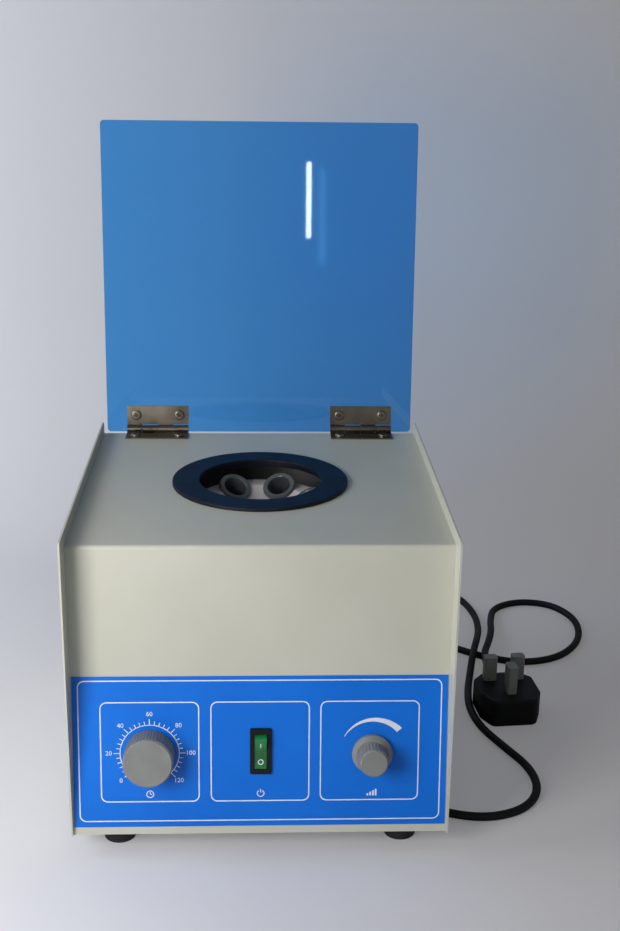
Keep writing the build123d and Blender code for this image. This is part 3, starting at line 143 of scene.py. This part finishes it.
finishes = {
    "paint": dict(dark=srgb(198, 198, 183), light=srgb(206, 205, 191), cloudScale=9, grainScale=900,
                  grainDepth=0.00004, roughness=(0.36, 0.46)),
    "label_blue": dict(dark=srgb(0, 108, 216), light=srgb(0, 115, 226), cloudScale=12, grainScale=1500,
                       grainDepth=0.00001, roughness=(0.4, 0.46), specular=0.35),
    "navy_trim": dict(dark=srgb(3, 8, 24), light=srgb(6, 13, 31), cloudScale=30, grainScale=900,
                      grainDepth=0.00003, roughness=(0.45, 0.58), specular=0.3),
    "bowl_metal": dict(dark=srgb(150, 150, 152), light=srgb(176, 176, 178), cloudScale=14, grainScale=400,
                       grainDepth=0.00003, roughness=(0.4, 0.55), metal=0.6),
    "rubber": dict(dark=srgb(24, 24, 25), light=srgb(36, 36, 38), cloudScale=60, grainScale=1400,
                   grainDepth=0.00008, roughness=(0.62, 0.8)),
    "zinc": dict(dark=srgb(150, 150, 146), light=srgb(180, 180, 176), cloudScale=160, grainScale=1500,
                 grainDepth=0.00002, roughness=(0.3, 0.45), metal=1.0),
    "motor_metal": dict(dark=srgb(150, 152, 156), light=srgb(176, 178, 182), cloudScale=40, grainScale=900,
                        grainDepth=0.00003, roughness=(0.36, 0.5), metal=0.9),
    "steel": dict(dark=srgb(140, 142, 146), light=srgb(168, 170, 174), cloudScale=70, grainScale=1200,
                  grainDepth=0.00002, roughness=(0.25, 0.4), metal=1.0),
    "copper": dict(dark=srgb(170, 92, 48), light=srgb(198, 118, 66), cloudScale=90, grainScale=1300,
                   grainDepth=0.00006, roughness=(0.3, 0.45), metal=0.9),
    "brass": dict(dark=srgb(186, 156, 92), light=srgb(206, 178, 112), cloudScale=90, grainScale=1200,
                  grainDepth=0.00002, roughness=(0.25, 0.38), metal=1.0),
    "carbon": dict(dark=srgb(30, 30, 32), light=srgb(44, 44, 46), cloudScale=90, grainScale=1600,
                   grainDepth=0.00004, roughness=(0.6, 0.75)),
    "fan_plastic": dict(dark=srgb(52, 54, 58), light=srgb(64, 66, 70), cloudScale=60, grainScale=1200,
                        grainDepth=0.00003, roughness=(0.5, 0.62)),
    "rotor_plastic": dict(dark=srgb(206, 196, 196), light=srgb(220, 212, 211), cloudScale=40, grainScale=1100,
                          grainDepth=0.00003, roughness=(0.4, 0.52)),
    "sleeve_plastic": dict(dark=srgb(96, 101, 103), light=srgb(112, 117, 119), cloudScale=50, grainScale=900,
                           grainDepth=0.00002, roughness=(0.2, 0.3), transmission=0.25, coat=0.3),
    "knob_grey": dict(dark=srgb(128, 129, 127), light=srgb(136, 137, 135), cloudScale=70, grainScale=1500,
                      grainDepth=0.00004, roughness=(0.5, 0.6), specular=0.35),
    "black_plastic": dict(dark=srgb(11, 11, 13), light=srgb(17, 17, 19), cloudScale=80, grainScale=1400,
                          grainDepth=0.00003, roughness=(0.38, 0.5), specular=0.35),
    "rocker_green": dict(dark=srgb(6, 110, 44), light=srgb(16, 160, 70), cloudScale=90, grainScale=900,
                         grainDepth=0.00001, roughness=(0.12, 0.2), transmission=0.3, coat=0.7),
    "board_green": dict(dark=srgb(20, 88, 52), light=srgb(28, 106, 64), cloudScale=80, grainScale=900,
                        grainDepth=0.00003, roughness=(0.4, 0.55)),
    "nickel": dict(dark=srgb(122, 113, 101), light=srgb(142, 133, 120), cloudScale=50, grainScale=1300,
                   grainDepth=0.00003, roughness=(0.24, 0.36), metal=1.0, stretch=(0.1, 1, 1)),
    "cord_black": dict(dark=srgb(9, 8, 8), light=srgb(14, 13, 12), cloudScale=60, grainScale=1200,
                       grainDepth=0.00004, roughness=(0.45, 0.58), specular=0.3),
    "cap_clear": dict(dark=srgb(150, 152, 142), light=srgb(164, 166, 156), cloudScale=60, grainScale=700,
                      grainDepth=0.00001, roughness=(0.25, 0.35), transmission=0.2),
    "ink_white": dict(dark=srgb(226, 232, 240), light=srgb(240, 243, 248), cloudScale=90, grainScale=1500,
                      grainDepth=0.00001, roughness=(0.45, 0.55)),
    # the screw slots' dark film uses this colour as painted shade
    "recess_dark": dict(dark=srgb(30, 28, 26), light=srgb(44, 42, 38), cloudScale=90, grainScale=1500,
                        grainDepth=0.00001, roughness=(0.6, 0.7)),
}
materials = {name: mottled(name, finish) for name, finish in finishes.items()}

lidLook = {"tint": (0.1, 0.44, 0.96, 1), "shade": (0.092, 0.42, 0.94, 1), "edges": (0.35, 0.65),
           "cloudScale": 7, "index": 1.49, "roughness": 0.02}


def lidMaterial():
    # clear blue sheet that lets the lamps shine through it
    material, tree, shader = newMaterial("lid_blue")
    cloud = addNoise(tree, lidLook["cloudScale"], mottle["cloudDetail"])
    stops = zip(lidLook["edges"], (lidLook["shade"], lidLook["tint"]))
    tint = addRamp(tree, cloud.outputs["Fac"], list(stops))
    tree.links.new(tint, shader.inputs["Base Color"])
    shader.inputs["Transmission Weight"].default_value = 1.0
    shader.inputs["IOR"].default_value = lidLook["index"]
    shader.inputs["Roughness"].default_value = lidLook["roughness"]
    passing = tree.nodes.new("ShaderNodeBsdfTransparent")
    passing.inputs["Color"].default_value = [math.sqrt(channel) for channel in lidLook["tint"]]
    path = tree.nodes.new("ShaderNodeLightPath")
    mix = tree.nodes.new("ShaderNodeMixShader")
    tree.links.new(path.outputs["Is Shadow Ray"], mix.inputs["Fac"])
    tree.links.new(shader.outputs["BSDF"], mix.inputs[1])
    tree.links.new(passing.outputs["BSDF"], mix.inputs[2])
    tree.links.new(mix.outputs["Shader"], tree.nodes["Material Output"].inputs["Surface"])
    return material


materials["lid_blue"] = lidMaterial()

for subpart in frame["record"]["subparts"]:
    node = nodes[subpart["node"]]
    node.data.materials.clear()
    node.data.materials.append(materials[subpart["material_slot"]])
print("materials on", len(nodes), "nodes")


# Making pieces
def addObject(name, data):
    thing = bpy.data.objects.new(name, data)
    bpy.context.scene.collection.objects.link(thing)
    return thing


def newPiece(name, mesh, body, look):
    data = bpy.data.meshes.new(name)
    mesh.to_mesh(data)
    mesh.free()
    piece = addObject(name, data)
    data.materials.append(materials[look])
    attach(piece, body)


def newPrint(name, mesh):
    bmesh.ops.recalc_face_normals(mesh, faces=mesh.faces[:])
    newPiece(name, mesh, "case", "ink_white")


def facePoint(x, rise, lift):
    # a place on the control face: x, the way up the slope and the height over the label, in millimetres
    start = Vector((0, caseFront + face["toe"] * mm, face["foot"] * mm))
    return start + (faceRight * x + faceUp * rise + faceOut * (face["label"] + lift)) * mm


def faceMatrix(x, rise, lift=0.0):
    turn = Matrix((faceRight, faceUp, faceOut)).transposed().to_4x4()
    return Matrix.Translation(facePoint(x, rise, lift)) @ turn


# Supply lead: the route's points are the CAD tube's own, as x, way back from the cheeks' front and height
cordRoute = [
    (68, 297, 39), (68, 321, 39), (67, 346, 30), (63, 370, 14), (53, 392, 5), (27, 405, 3),
    (-2, 398, 3), (-19, 373, 3), (-10, 329, 3), (2, 290, 3), (16, 250, 3), (27, 208, 3),
    (43, 166, 3), (58, 124, 3), (80, 88, 3), (104, 58, 3), (130, 40, 3), (158, 35, 3),
    (184, 46, 3), (198, 70, 3), (197, 100, 3), (183, 130, 3), (170, 160, 3), (166, 190, 3),
    (169, 218, 3), (175, 246, 3), (182, 275, 10), (190, 303, 10), (196, 333, 4), (198, 362, 3),
    (193, 392, 3), (180, 420, 3), (156, 441, 3), (126, 444, 3), (101, 426, 3), (93, 396, 3),
    (103, 366, 3), (124, 340, 3), (149, 317, 3), (172, 295, 3), (196, 277, 3), (224, 268, 3),
    (254, 276, 3), (276, 300, 3), (287, 330, 3), (287, 361, 3), (272, 388, 3), (243, 395, 3),
    (217, 380, 3), (209, 348, 5), (205, 319, 9), (198, 292, 11), (189.5, 268, 11), (189.5, 244, 11),
]
lead = {"diameter": 0.006, "length": 1.66, "roundness": 5, "steps": 10, "order": 3}


def makeCord():
    curve = bpy.data.curves.new("supply_lead", "CURVE")
    curve.dimensions = "3D"
    curve.bevel_depth = lead["diameter"] / 2
    curve.bevel_resolution = lead["roundness"]
    curve.use_fill_caps = True
    curve.resolution_u = lead["steps"]
    spline = curve.splines.new("NURBS")
    spline.points.add(len(cordRoute) - 1)
    for point, (x, back, height) in zip(spline.points, cordRoute):
        point.co = (x * mm, caseFront + back * mm, height * mm, 1)
    spline.order_u = lead["order"]
    spline.use_endpoint_u = True
    cord = addObject("supply_lead", curve)
    curve.materials.append(materials["cord_black"])
    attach(cord, "case")
    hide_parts("mains_cord")


makeCord()
print("supply lead laid out")

# Printing on the label, in millimetres up its slope and from its middle line
ink = {
    "thickness": 0.06,
    "line": 0.75,
    "border": dict(left=-117.0, right=116.7, low=8.9, high=104.5, corner=4.5),
    "boxes": [(-103.0, -39.4), (-32.3, 31.6), (38.3, 102.5)],
    "boxLow": 22.2,
    "boxHigh": 90.1,
    "boxCorner": 4.5,
    "cornerSteps": 6,
    "letter": 4.3,
    "letterSteps": 3,
}
# angles run anticlockwise from the right, in degrees; the timer's marks are in minutes
dial = {"x": -71.3, "rise": 55.6, "circle": 18.7, "line": 0.525, "steps": 96, "minor": 21.6,
        "major": 23.0, "tick": 0.5, "numbers": 26.3, "start": 225, "sweep": 270, "last": 120,
        "minorStep": 4, "majorStep": 20}
arc = {"x": 72.1, "rise": 54.9, "inner": 21.0, "thin": 0.3, "thick": 4.2, "start": 149.0, "end": 41.0,
       "steps": 48}
iconPlace = {"rise": 27.6, "steps": 32}
clockIcon = {"circle": 2.0, "line": 0.5, "hand": 0.45, "minute": 1.6, "hour": 1.3}
powerIcon = {"circle": 1.9, "line": 0.55, "start": 125, "end": 415, "bar": 2.4, "lift": 0.6}
barsIcon = {"count": 4, "left": -2.7, "pitch": 1.8, "drop": 2.2, "width": 1.1, "first": 1.5, "growth": 1.0}


def thicken(mesh):
    # closes the flat print into a thin raised film
    extruded = bmesh.ops.extrude_face_region(mesh, geom=mesh.faces[:])["geom"]
    lifted = [item for item in extruded if isinstance(item, bmesh.types.BMVert)]
    bmesh.ops.translate(mesh, vec=(0, 0, ink["thickness"] * mm), verts=lifted)


def printFrame(name, left, right, low, high, corner):
    # a rounded rectangle line
    mesh = bmesh.new()
    bmesh.ops.create_grid(mesh, x_segments=1, y_segments=1, size=0.5)
    bmesh.ops.scale(mesh, vec=((right - left) * mm, (high - low) * mm, 1), verts=mesh.verts)
    bmesh.ops.bevel(mesh, geom=mesh.verts[:], offset=corner * mm, segments=ink["cornerSteps"],
                    profile=0.5, affect="VERTICES", material=-1)
    outer = mesh.faces[:]
    bmesh.ops.inset_region(mesh, faces=outer, use_boundary=True, use_even_offset=True,
                           thickness=ink["line"] * mm, depth=0)
    bmesh.ops.delete(mesh, geom=outer, context="FACES_ONLY")
    thicken(mesh)
    bmesh.ops.transform(mesh, matrix=faceMatrix((left + right) / 2, (low + high) / 2), verts=mesh.verts)
    newPrint(name, mesh)


def printFrames():
    border = ink["border"]
    printFrame("print_border", border["left"], border["right"], border["low"], border["high"],
               border["corner"])
    for number, (left, right) in enumerate(ink["boxes"]):
        printFrame(f"print_box_{number + 1}", left, right, ink["boxLow"], ink["boxHigh"],
                   ink["boxCorner"])


def addBar(mesh, length, width, placing):
    made = bmesh.ops.create_cube(mesh, size=1)["verts"]
    bmesh.ops.scale(mesh, vec=(width * mm, length * mm, ink["thickness"] * mm), verts=made)
    bmesh.ops.translate(mesh, vec=(0, length * mm / 2, ink["thickness"] * mm / 2), verts=made)
    bmesh.ops.transform(mesh, matrix=placing, verts=made)


def addSweep(mesh, inner, thin, thick, start, end, steps, placing):
    # a ring sector whose width grows from thin to thick on its way round, the first form in its mesh
    first = mesh.verts.new((inner * mm, 0, 0))
    second = mesh.verts.new(((inner + thin) * mm, 0, 0))
    edge = mesh.edges.new((first, second))
    turn = math.radians(end - start)
    bmesh.ops.spin(mesh, geom=[first, second, edge], cent=(0, 0, 0), axis=(0, 0, 1), angle=turn,
                   steps=steps, use_merge=abs(end - start) >= 360)
    for vert in mesh.verts:
        angle = math.atan2(vert.co.y, vert.co.x)
        share = min(max(angle / turn, 0), 1) if abs(end - start) < 360 else 0
        if vert.co.length > (inner + thin / 2) * mm:
            vert.co *= (inner + thin + (thick - thin) * share) / (inner + thin)
    thicken(mesh)
    bmesh.ops.rotate(mesh, cent=(0, 0, 0), matrix=Matrix.Rotation(math.radians(start), 3, "Z"),
                     verts=mesh.verts)
    bmesh.ops.transform(mesh, matrix=placing, verts=mesh.verts)


def dialAngle(minutes):
    return dial["start"] - minutes * dial["sweep"] / dial["last"]


def printTimerDial():
    mesh = bmesh.new()
    centre = faceMatrix(dial["x"], dial["rise"])
    addSweep(mesh, dial["circle"], dial["line"], dial["line"], dialAngle(dial["last"]), dialAngle(0),
             dial["steps"], centre)
    for minutes in range(0, dial["last"] + 1, dial["minorStep"]):
        reach = dial["minor"] if minutes % dial["majorStep"] else dial["major"]
        angle = math.radians(dialAngle(minutes) - 90)
        placing = centre @ Matrix.Rotation(angle, 4, "Z")
        placing = placing @ Matrix.Translation((0, dial["circle"] * mm, 0))
        addBar(mesh, reach - dial["circle"], dial["tick"], placing)
    newPrint("print_timer_dial", mesh)


def printWord(name, text, x, rise, size):
    font = bpy.data.curves.new(name, "FONT")
    font.body = text
    font.align_x = "CENTER"
    font.align_y = "CENTER"
    font.size = size * mm
    font.extrude = ink["thickness"] * mm / 2
    font.resolution_u = ink["letterSteps"]
    shape = addObject(name + "_shape", font)
    bpy.context.view_layer.update()
    data = bpy.data.meshes.new_from_object(shape)
    bpy.data.objects.remove(shape)
    data.transform(faceMatrix(x, rise, ink["thickness"] / 2))
    data.name = name
    data.materials.clear()
    data.materials.append(materials["ink_white"])
    piece = addObject(name, data)
    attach(piece, "case")


def printTimerNumbers():
    for minutes in range(0, dial["last"] + 1, dial["majorStep"]):
        angle = math.radians(dialAngle(minutes))
        x = dial["x"] + dial["numbers"] * math.cos(angle)
        rise = dial["rise"] + dial["numbers"] * math.sin(angle)
        printWord(f"print_number_{minutes}", str(minutes), x, rise, ink["letter"])


def printSpeedArc():
    mesh = bmesh.new()
    addSweep(mesh, arc["inner"], arc["thin"], arc["thick"], arc["start"], arc["end"], arc["steps"],
             faceMatrix(arc["x"], arc["rise"]))
    newPrint("print_speed_arc", mesh)


def printClock():
    mesh = bmesh.new()
    place = faceMatrix(dial["x"], iconPlace["rise"])
    addSweep(mesh, clockIcon["circle"], clockIcon["line"], clockIcon["line"], 0, 360, iconPlace["steps"],
             place)
    addBar(mesh, clockIcon["minute"], clockIcon["hand"], place)
    addBar(mesh, clockIcon["hour"], clockIcon["hand"], place @ Matrix.Rotation(math.radians(-90), 4, "Z"))
    newPrint("print_clock", mesh)


def printPower():
    mesh = bmesh.new()
    place = faceMatrix(0, iconPlace["rise"])
    addSweep(mesh, powerIcon["circle"], powerIcon["line"], powerIcon["line"], powerIcon["start"],
             powerIcon["end"], iconPlace["steps"], place)
    lift = Matrix.Translation((0, powerIcon["lift"] * mm, 0))
    addBar(mesh, powerIcon["bar"], powerIcon["line"], place @ lift)
    newPrint("print_power", mesh)


def printSpeedBars():
    mesh = bmesh.new()
    for number in range(barsIcon["count"]):
        x = arc["x"] + barsIcon["left"] + barsIcon["pitch"] * number
        length = barsIcon["first"] + barsIcon["growth"] * number
        addBar(mesh, length, barsIcon["width"], faceMatrix(x, iconPlace["rise"] - barsIcon["drop"]))
    newPrint("print_speed_bars", mesh)


# the rocker's two marks, in millimetres and degrees
rocker = {"mark": 3.6, "line": 0.55, "ring": 1.3, "steps": 32, "out": 6.2, "throw": 12.0, "drop": 2.5}


def rockerPlace(half, out):
    # a place on the rocker's upper (1) or lower (-1) half, out from its middle line
    throw = math.radians(rocker["throw"])
    turn = Matrix.Rotation(throw, 3, "X")
    along, outwards = turn @ faceUp, turn @ faceOut
    run = along * math.cos(throw) + outwards * (half * math.sin(throw))
    normal = outwards * math.cos(throw) - along * (half * math.sin(throw))
    middle = Vector(joints["power_rock"]["pos_m"]) + outwards * (rocker["drop"] * mm / math.cos(throw))
    place = Matrix((faceRight, run, normal)).transposed().to_4x4()
    return Matrix.Translation(middle + run * (half * out * mm)) @ place


def markRocker():
    # a bar on the upper half of the rocker and a ring on its lower half
    mesh = bmesh.new()
    addSweep(mesh, rocker["ring"], rocker["line"], rocker["line"], 0, 360, rocker["steps"],
             rockerPlace(-1, rocker["out"]))
    addBar(mesh, rocker["mark"], rocker["line"], rockerPlace(1, rocker["out"] - rocker["mark"] / 2))
    bmesh.ops.recalc_face_normals(mesh, faces=mesh.faces[:])
    newPiece("rocker_marks", mesh, "power_rocker", "ink_white")


# screw heads, in millimetres: the slots of each one, drawn as painted shade, then where the hinges', cheeks' and
# rear panel's sit
slots = {"length": 3.6, "width": 0.75, "film": 0.08, "stagger": 0.018, "turn": 24}
hingeHeads = {"xs": (-96.25, -62.75, 62.75, 96.25), "reach": 10.7, "lift": -0.3}
cheekHeads = {"topBacks": (62, 224), "baseBacks": (40, 224), "inset": 6.0}
rearHeads = {"xs": (-90, 0, 90), "inset": 8.4, "rise": 1.6}


def crossRecess(name, places, body):
    # the two crossing slots of each screw head, as a thin dark film of painted shade where the recess falls into
    # shade
    mesh = bmesh.new()
    for number, place in enumerate(places):
        for quarter, stagger in ((0, 0), (90, slots["stagger"])):
            made = bmesh.ops.create_cube(mesh, size=1)["verts"]
            size = Vector((slots["length"], slots["width"], slots["film"] + stagger)) * mm
            bmesh.ops.scale(mesh, vec=size, verts=made)
            spin = Matrix.Rotation(math.radians(slots["turn"] * (number + 1) + quarter), 4, "Z")
            bmesh.ops.transform(mesh, matrix=place @ spin, verts=made)
    # recess_dark here is painted shade: the film is dark where the slots would be shaded
    newPiece(name, mesh, body, "recess_dark")


def facing(place, normal):
    # a place with its Z along normal
    return Matrix.Translation(place) @ Vector(normal).to_track_quat("Z", "Y").to_matrix().to_4x4()


def markHingeHeads():
    hinge = Vector(joints["lid_hinge"]["pos_m"])
    lean = math.radians(joints["lid_hinge"]["range_deg"][1] - 90)
    lidUp = Vector((0, math.sin(lean), math.cos(lean)))
    lidOut = Vector((0, -math.cos(lean), math.sin(lean)))
    lidHead = hinge + (lidUp * hingeHeads["reach"] + lidOut * hingeHeads["lift"]) * mm
    onLid = [facing(lidHead + Vector((x * mm, 0, 0)), lidOut) for x in hingeHeads["xs"]]
    crossRecess("lid_screw_slot_shade", onLid, "lid")
    topHead = Vector((0, hinge.y - hingeHeads["reach"] * mm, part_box("hinge_base_screws")[1].z))
    return [facing(topHead + Vector((x * mm, 0, 0)), (0, 0, 1)) for x in hingeHeads["xs"]]


def cutScrewHeads():
    onTop = markHingeHeads()
    low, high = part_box("left_cheek")[0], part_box("right_cheek")[1]
    topZ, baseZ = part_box("wrap_shell")[1].z, low.z
    spots = [(back, topZ - cheekHeads["inset"] * mm) for back in cheekHeads["topBacks"]]
    spots += [(back, baseZ + cheekHeads["inset"] * mm) for back in cheekHeads["baseBacks"]]
    onSides = [
        facing((x, caseFront + back * mm, z), (math.copysign(1, x), 0, 0))
        for x in (low.x, high.x)
        for back, z in spots
    ]
    inset = rearHeads["inset"] * mm
    onRear = [
        facing((x * mm, high.y + rearHeads["rise"] * mm, z), (0, 1, 0))
        for x in rearHeads["xs"]
        for z in (topZ - inset, baseZ + inset)
    ]
    crossRecess("case_screw_slot_shade", onTop + onSides + onRear, "case")


markRocker()
cutScrewHeads()
printFrames()
printTimerDial()
printTimerNumbers()
printSpeedArc()
printClock()
printPower()
printSpeedBars()
print("label printed")

# Room, light and camera; the paper's colour runs from pale at left to dim at right: painted light on the left and
# painted shade on the right, standing in for the lamps' falloff across the sweep
room = {"width": 4.0, "near": -1.6, "back": 0.36, "bend": 0.22, "steps": 24, "height": 2.4, "merge": 1e-6}
paper = {"left": -0.4, "right": 0.5, "paintedLitLeft": (0.77, 0.77, 0.81, 1), "middle": (0.55, 0.55, 0.58, 1),
         "paintedShadeRight": (0.5, 0.47, 0.45, 1), "middlePlace": 0.45, "lift": 0.24, "roughness": 0.9, "specular": 0.2}


def paperMaterial():
    material, tree, shader = newMaterial("paper")
    coords = tree.nodes.new("ShaderNodeTexCoord")
    split = tree.nodes.new("ShaderNodeSeparateXYZ")
    across = tree.nodes.new("ShaderNodeMapRange")
    across.inputs["From Min"].default_value = paper["left"]
    across.inputs["From Max"].default_value = paper["right"]
    tree.links.new(coords.outputs["Object"], split.inputs["Vector"])
    tree.links.new(split.outputs["X"], across.inputs["Value"])
    # painted light and shade: the paper's base and glow colour run from lit at the left to shaded at the right
    stops = [(0.0, paper["paintedLitLeft"]), (paper["middlePlace"], paper["middle"]), (1.0, paper["paintedShadeRight"])]
    colour = addRamp(tree, across.outputs["Result"], stops)
    tree.links.new(colour, shader.inputs["Base Color"])
    tree.links.new(colour, shader.inputs["Emission Color"])
    # camera and transmission rays see an even glow of the same colour, so the glow carries the painted light and
    # shade too
    path = tree.nodes.new("ShaderNodeLightPath")
    seen = tree.nodes.new("ShaderNodeMath")
    seen.operation = "MAXIMUM"
    tree.links.new(path.outputs["Is Camera Ray"], seen.inputs[0])
    tree.links.new(path.outputs["Is Transmission Ray"], seen.inputs[1])
    lift = tree.nodes.new("ShaderNodeMath")
    lift.operation = "MULTIPLY"
    lift.inputs[1].default_value = paper["lift"]
    tree.links.new(seen.outputs["Value"], lift.inputs[0])
    tree.links.new(lift.outputs["Value"], shader.inputs["Emission Strength"])
    shader.inputs["Roughness"].default_value = paper["roughness"]
    shader.inputs["Specular IOR Level"].default_value = paper["specular"]
    # the sheet is clear from its back, so that it hides nothing in a view from behind
    side = tree.nodes.new("ShaderNodeNewGeometry")
    clear = tree.nodes.new("ShaderNodeBsdfTransparent")
    mix = tree.nodes.new("ShaderNodeMixShader")
    tree.links.new(side.outputs["Backfacing"], mix.inputs["Fac"])
    tree.links.new(shader.outputs["BSDF"], mix.inputs[1])
    tree.links.new(clear.outputs["BSDF"], mix.inputs[2])
    tree.links.new(mix.outputs["Shader"], tree.nodes["Material Output"].inputs["Surface"])
    return material


def makeRoom():
    # a floor that bends up into a wall
    mesh = bmesh.new()
    left = -room["width"] / 2
    first = mesh.verts.new((left, room["near"], 0))
    second = mesh.verts.new((left, room["back"], 0))
    mesh.edges.new((first, second))
    bent = bmesh.ops.spin(mesh, geom=[second], cent=(left, room["back"], room["bend"]), axis=(1, 0, 0),
                          angle=math.radians(90), steps=room["steps"])
    last = [item for item in bent["geom_last"] if isinstance(item, bmesh.types.BMVert)][0]
    top = mesh.verts.new((left, last.co.y, room["height"]))
    mesh.edges.new((last, top))
    swept = bmesh.ops.extrude_edge_only(mesh, edges=mesh.edges[:])["geom"]
    moved = [item for item in swept if isinstance(item, bmesh.types.BMVert)]
    bmesh.ops.translate(mesh, vec=(room["width"], 0, 0), verts=moved)
    bmesh.ops.remove_doubles(mesh, verts=mesh.verts, dist=room["merge"])
    bmesh.ops.recalc_face_normals(mesh, faces=mesh.faces[:])
    for facet in mesh.faces:
        facet.smooth = True
    floorFacet = min(mesh.faces, key=lambda facet: facet.calc_center_median().z)
    if floorFacet.normal.z < 0:
        bmesh.ops.reverse_faces(mesh, faces=mesh.faces[:])
    data = bpy.data.meshes.new("paper_sweep")
    mesh.to_mesh(data)
    mesh.free()
    data.materials.append(paperMaterial())
    addObject("paper_sweep", data)


# metres and watts
lamps = {
    "window": dict(place=(-0.38, -0.56, 0.34), aim=(0, -0.12, 0.12), size=(0.28, 0.36), power=3.15,
                   colour=(1.0, 0.985, 0.97)),
    "wall": dict(place=(-1.1, -0.1, 0.9), aim=(-0.3, 0.58, 0.4), size=(0.5, 0.6), power=4.6,
                 colour=(0.94, 0.97, 1.0)),
    "strip": dict(place=(0.101, -1.458, 0.443), aim=(0.036, 0.14, 0.389), size=(0.009, 0.143), power=0.09,
                  colour=(1.0, 1.0, 1.0)),
}
sky = {"colour": (0.82, 0.9, 1.0, 1), "strength": 0.21}


def makeLights():
    for name, lamp in lamps.items():
        data = bpy.data.lights.new(name, "AREA")
        data.shape = "RECTANGLE"
        data.size, data.size_y = lamp["size"]
        data.energy = lamp["power"]
        data.color = lamp["colour"]
        light = addObject(name, data)
        light.location = lamp["place"]
        aim = Vector(lamp["aim"]) - Vector(lamp["place"])
        light.rotation_euler = aim.to_track_quat("-Z", "Y").to_euler()
    world = bpy.data.worlds.new("studio")
    world.use_nodes = True
    background = world.node_tree.nodes["Background"]
    background.inputs["Color"].default_value = sky["colour"]
    background.inputs["Strength"].default_value = sky["strength"]
    bpy.context.scene.world = world


# the place is in metres, back from the cheeks' front, and the sensor is in millimetres
shot = {"x": -0.0047, "back": 0.7598, "height": 0.5206, "pitch": 18.35, "yaw": 2.52, "roll": 0.82,
        "focalPixels": 1351.5, "widthPixels": 620, "sensor": 36.0, "near": 0.02}


def makeCamera():
    pitch, yaw, roll = (math.radians(shot[turn]) for turn in ("pitch", "yaw", "roll"))
    forward = Vector((math.sin(yaw) * math.cos(pitch), math.cos(yaw) * math.cos(pitch), -math.sin(pitch)))
    level = Vector((math.cos(yaw), -math.sin(yaw), 0))
    upright = level.cross(forward)
    right = math.cos(roll) * level + math.sin(roll) * upright
    up = math.cos(roll) * upright - math.sin(roll) * level
    data = bpy.data.cameras.new("photo_camera")
    data.sensor_fit = "HORIZONTAL"
    data.sensor_width = shot["sensor"]
    data.lens = shot["focalPixels"] / shot["widthPixels"] * shot["sensor"]
    data.clip_start = shot["near"]
    camera = addObject("photo_camera", data)
    turn = Matrix((right, up, -forward)).transposed().to_4x4()
    place = Matrix.Translation((shot["x"], caseFront - shot["back"], shot["height"]))
    camera.matrix_world = place @ turn
    bpy.context.scene.camera = camera


makeRoom()
makeLights()
makeCamera()
bpy.context.scene.view_settings.view_transform = "Standard"
print("room, lamps and camera in place")
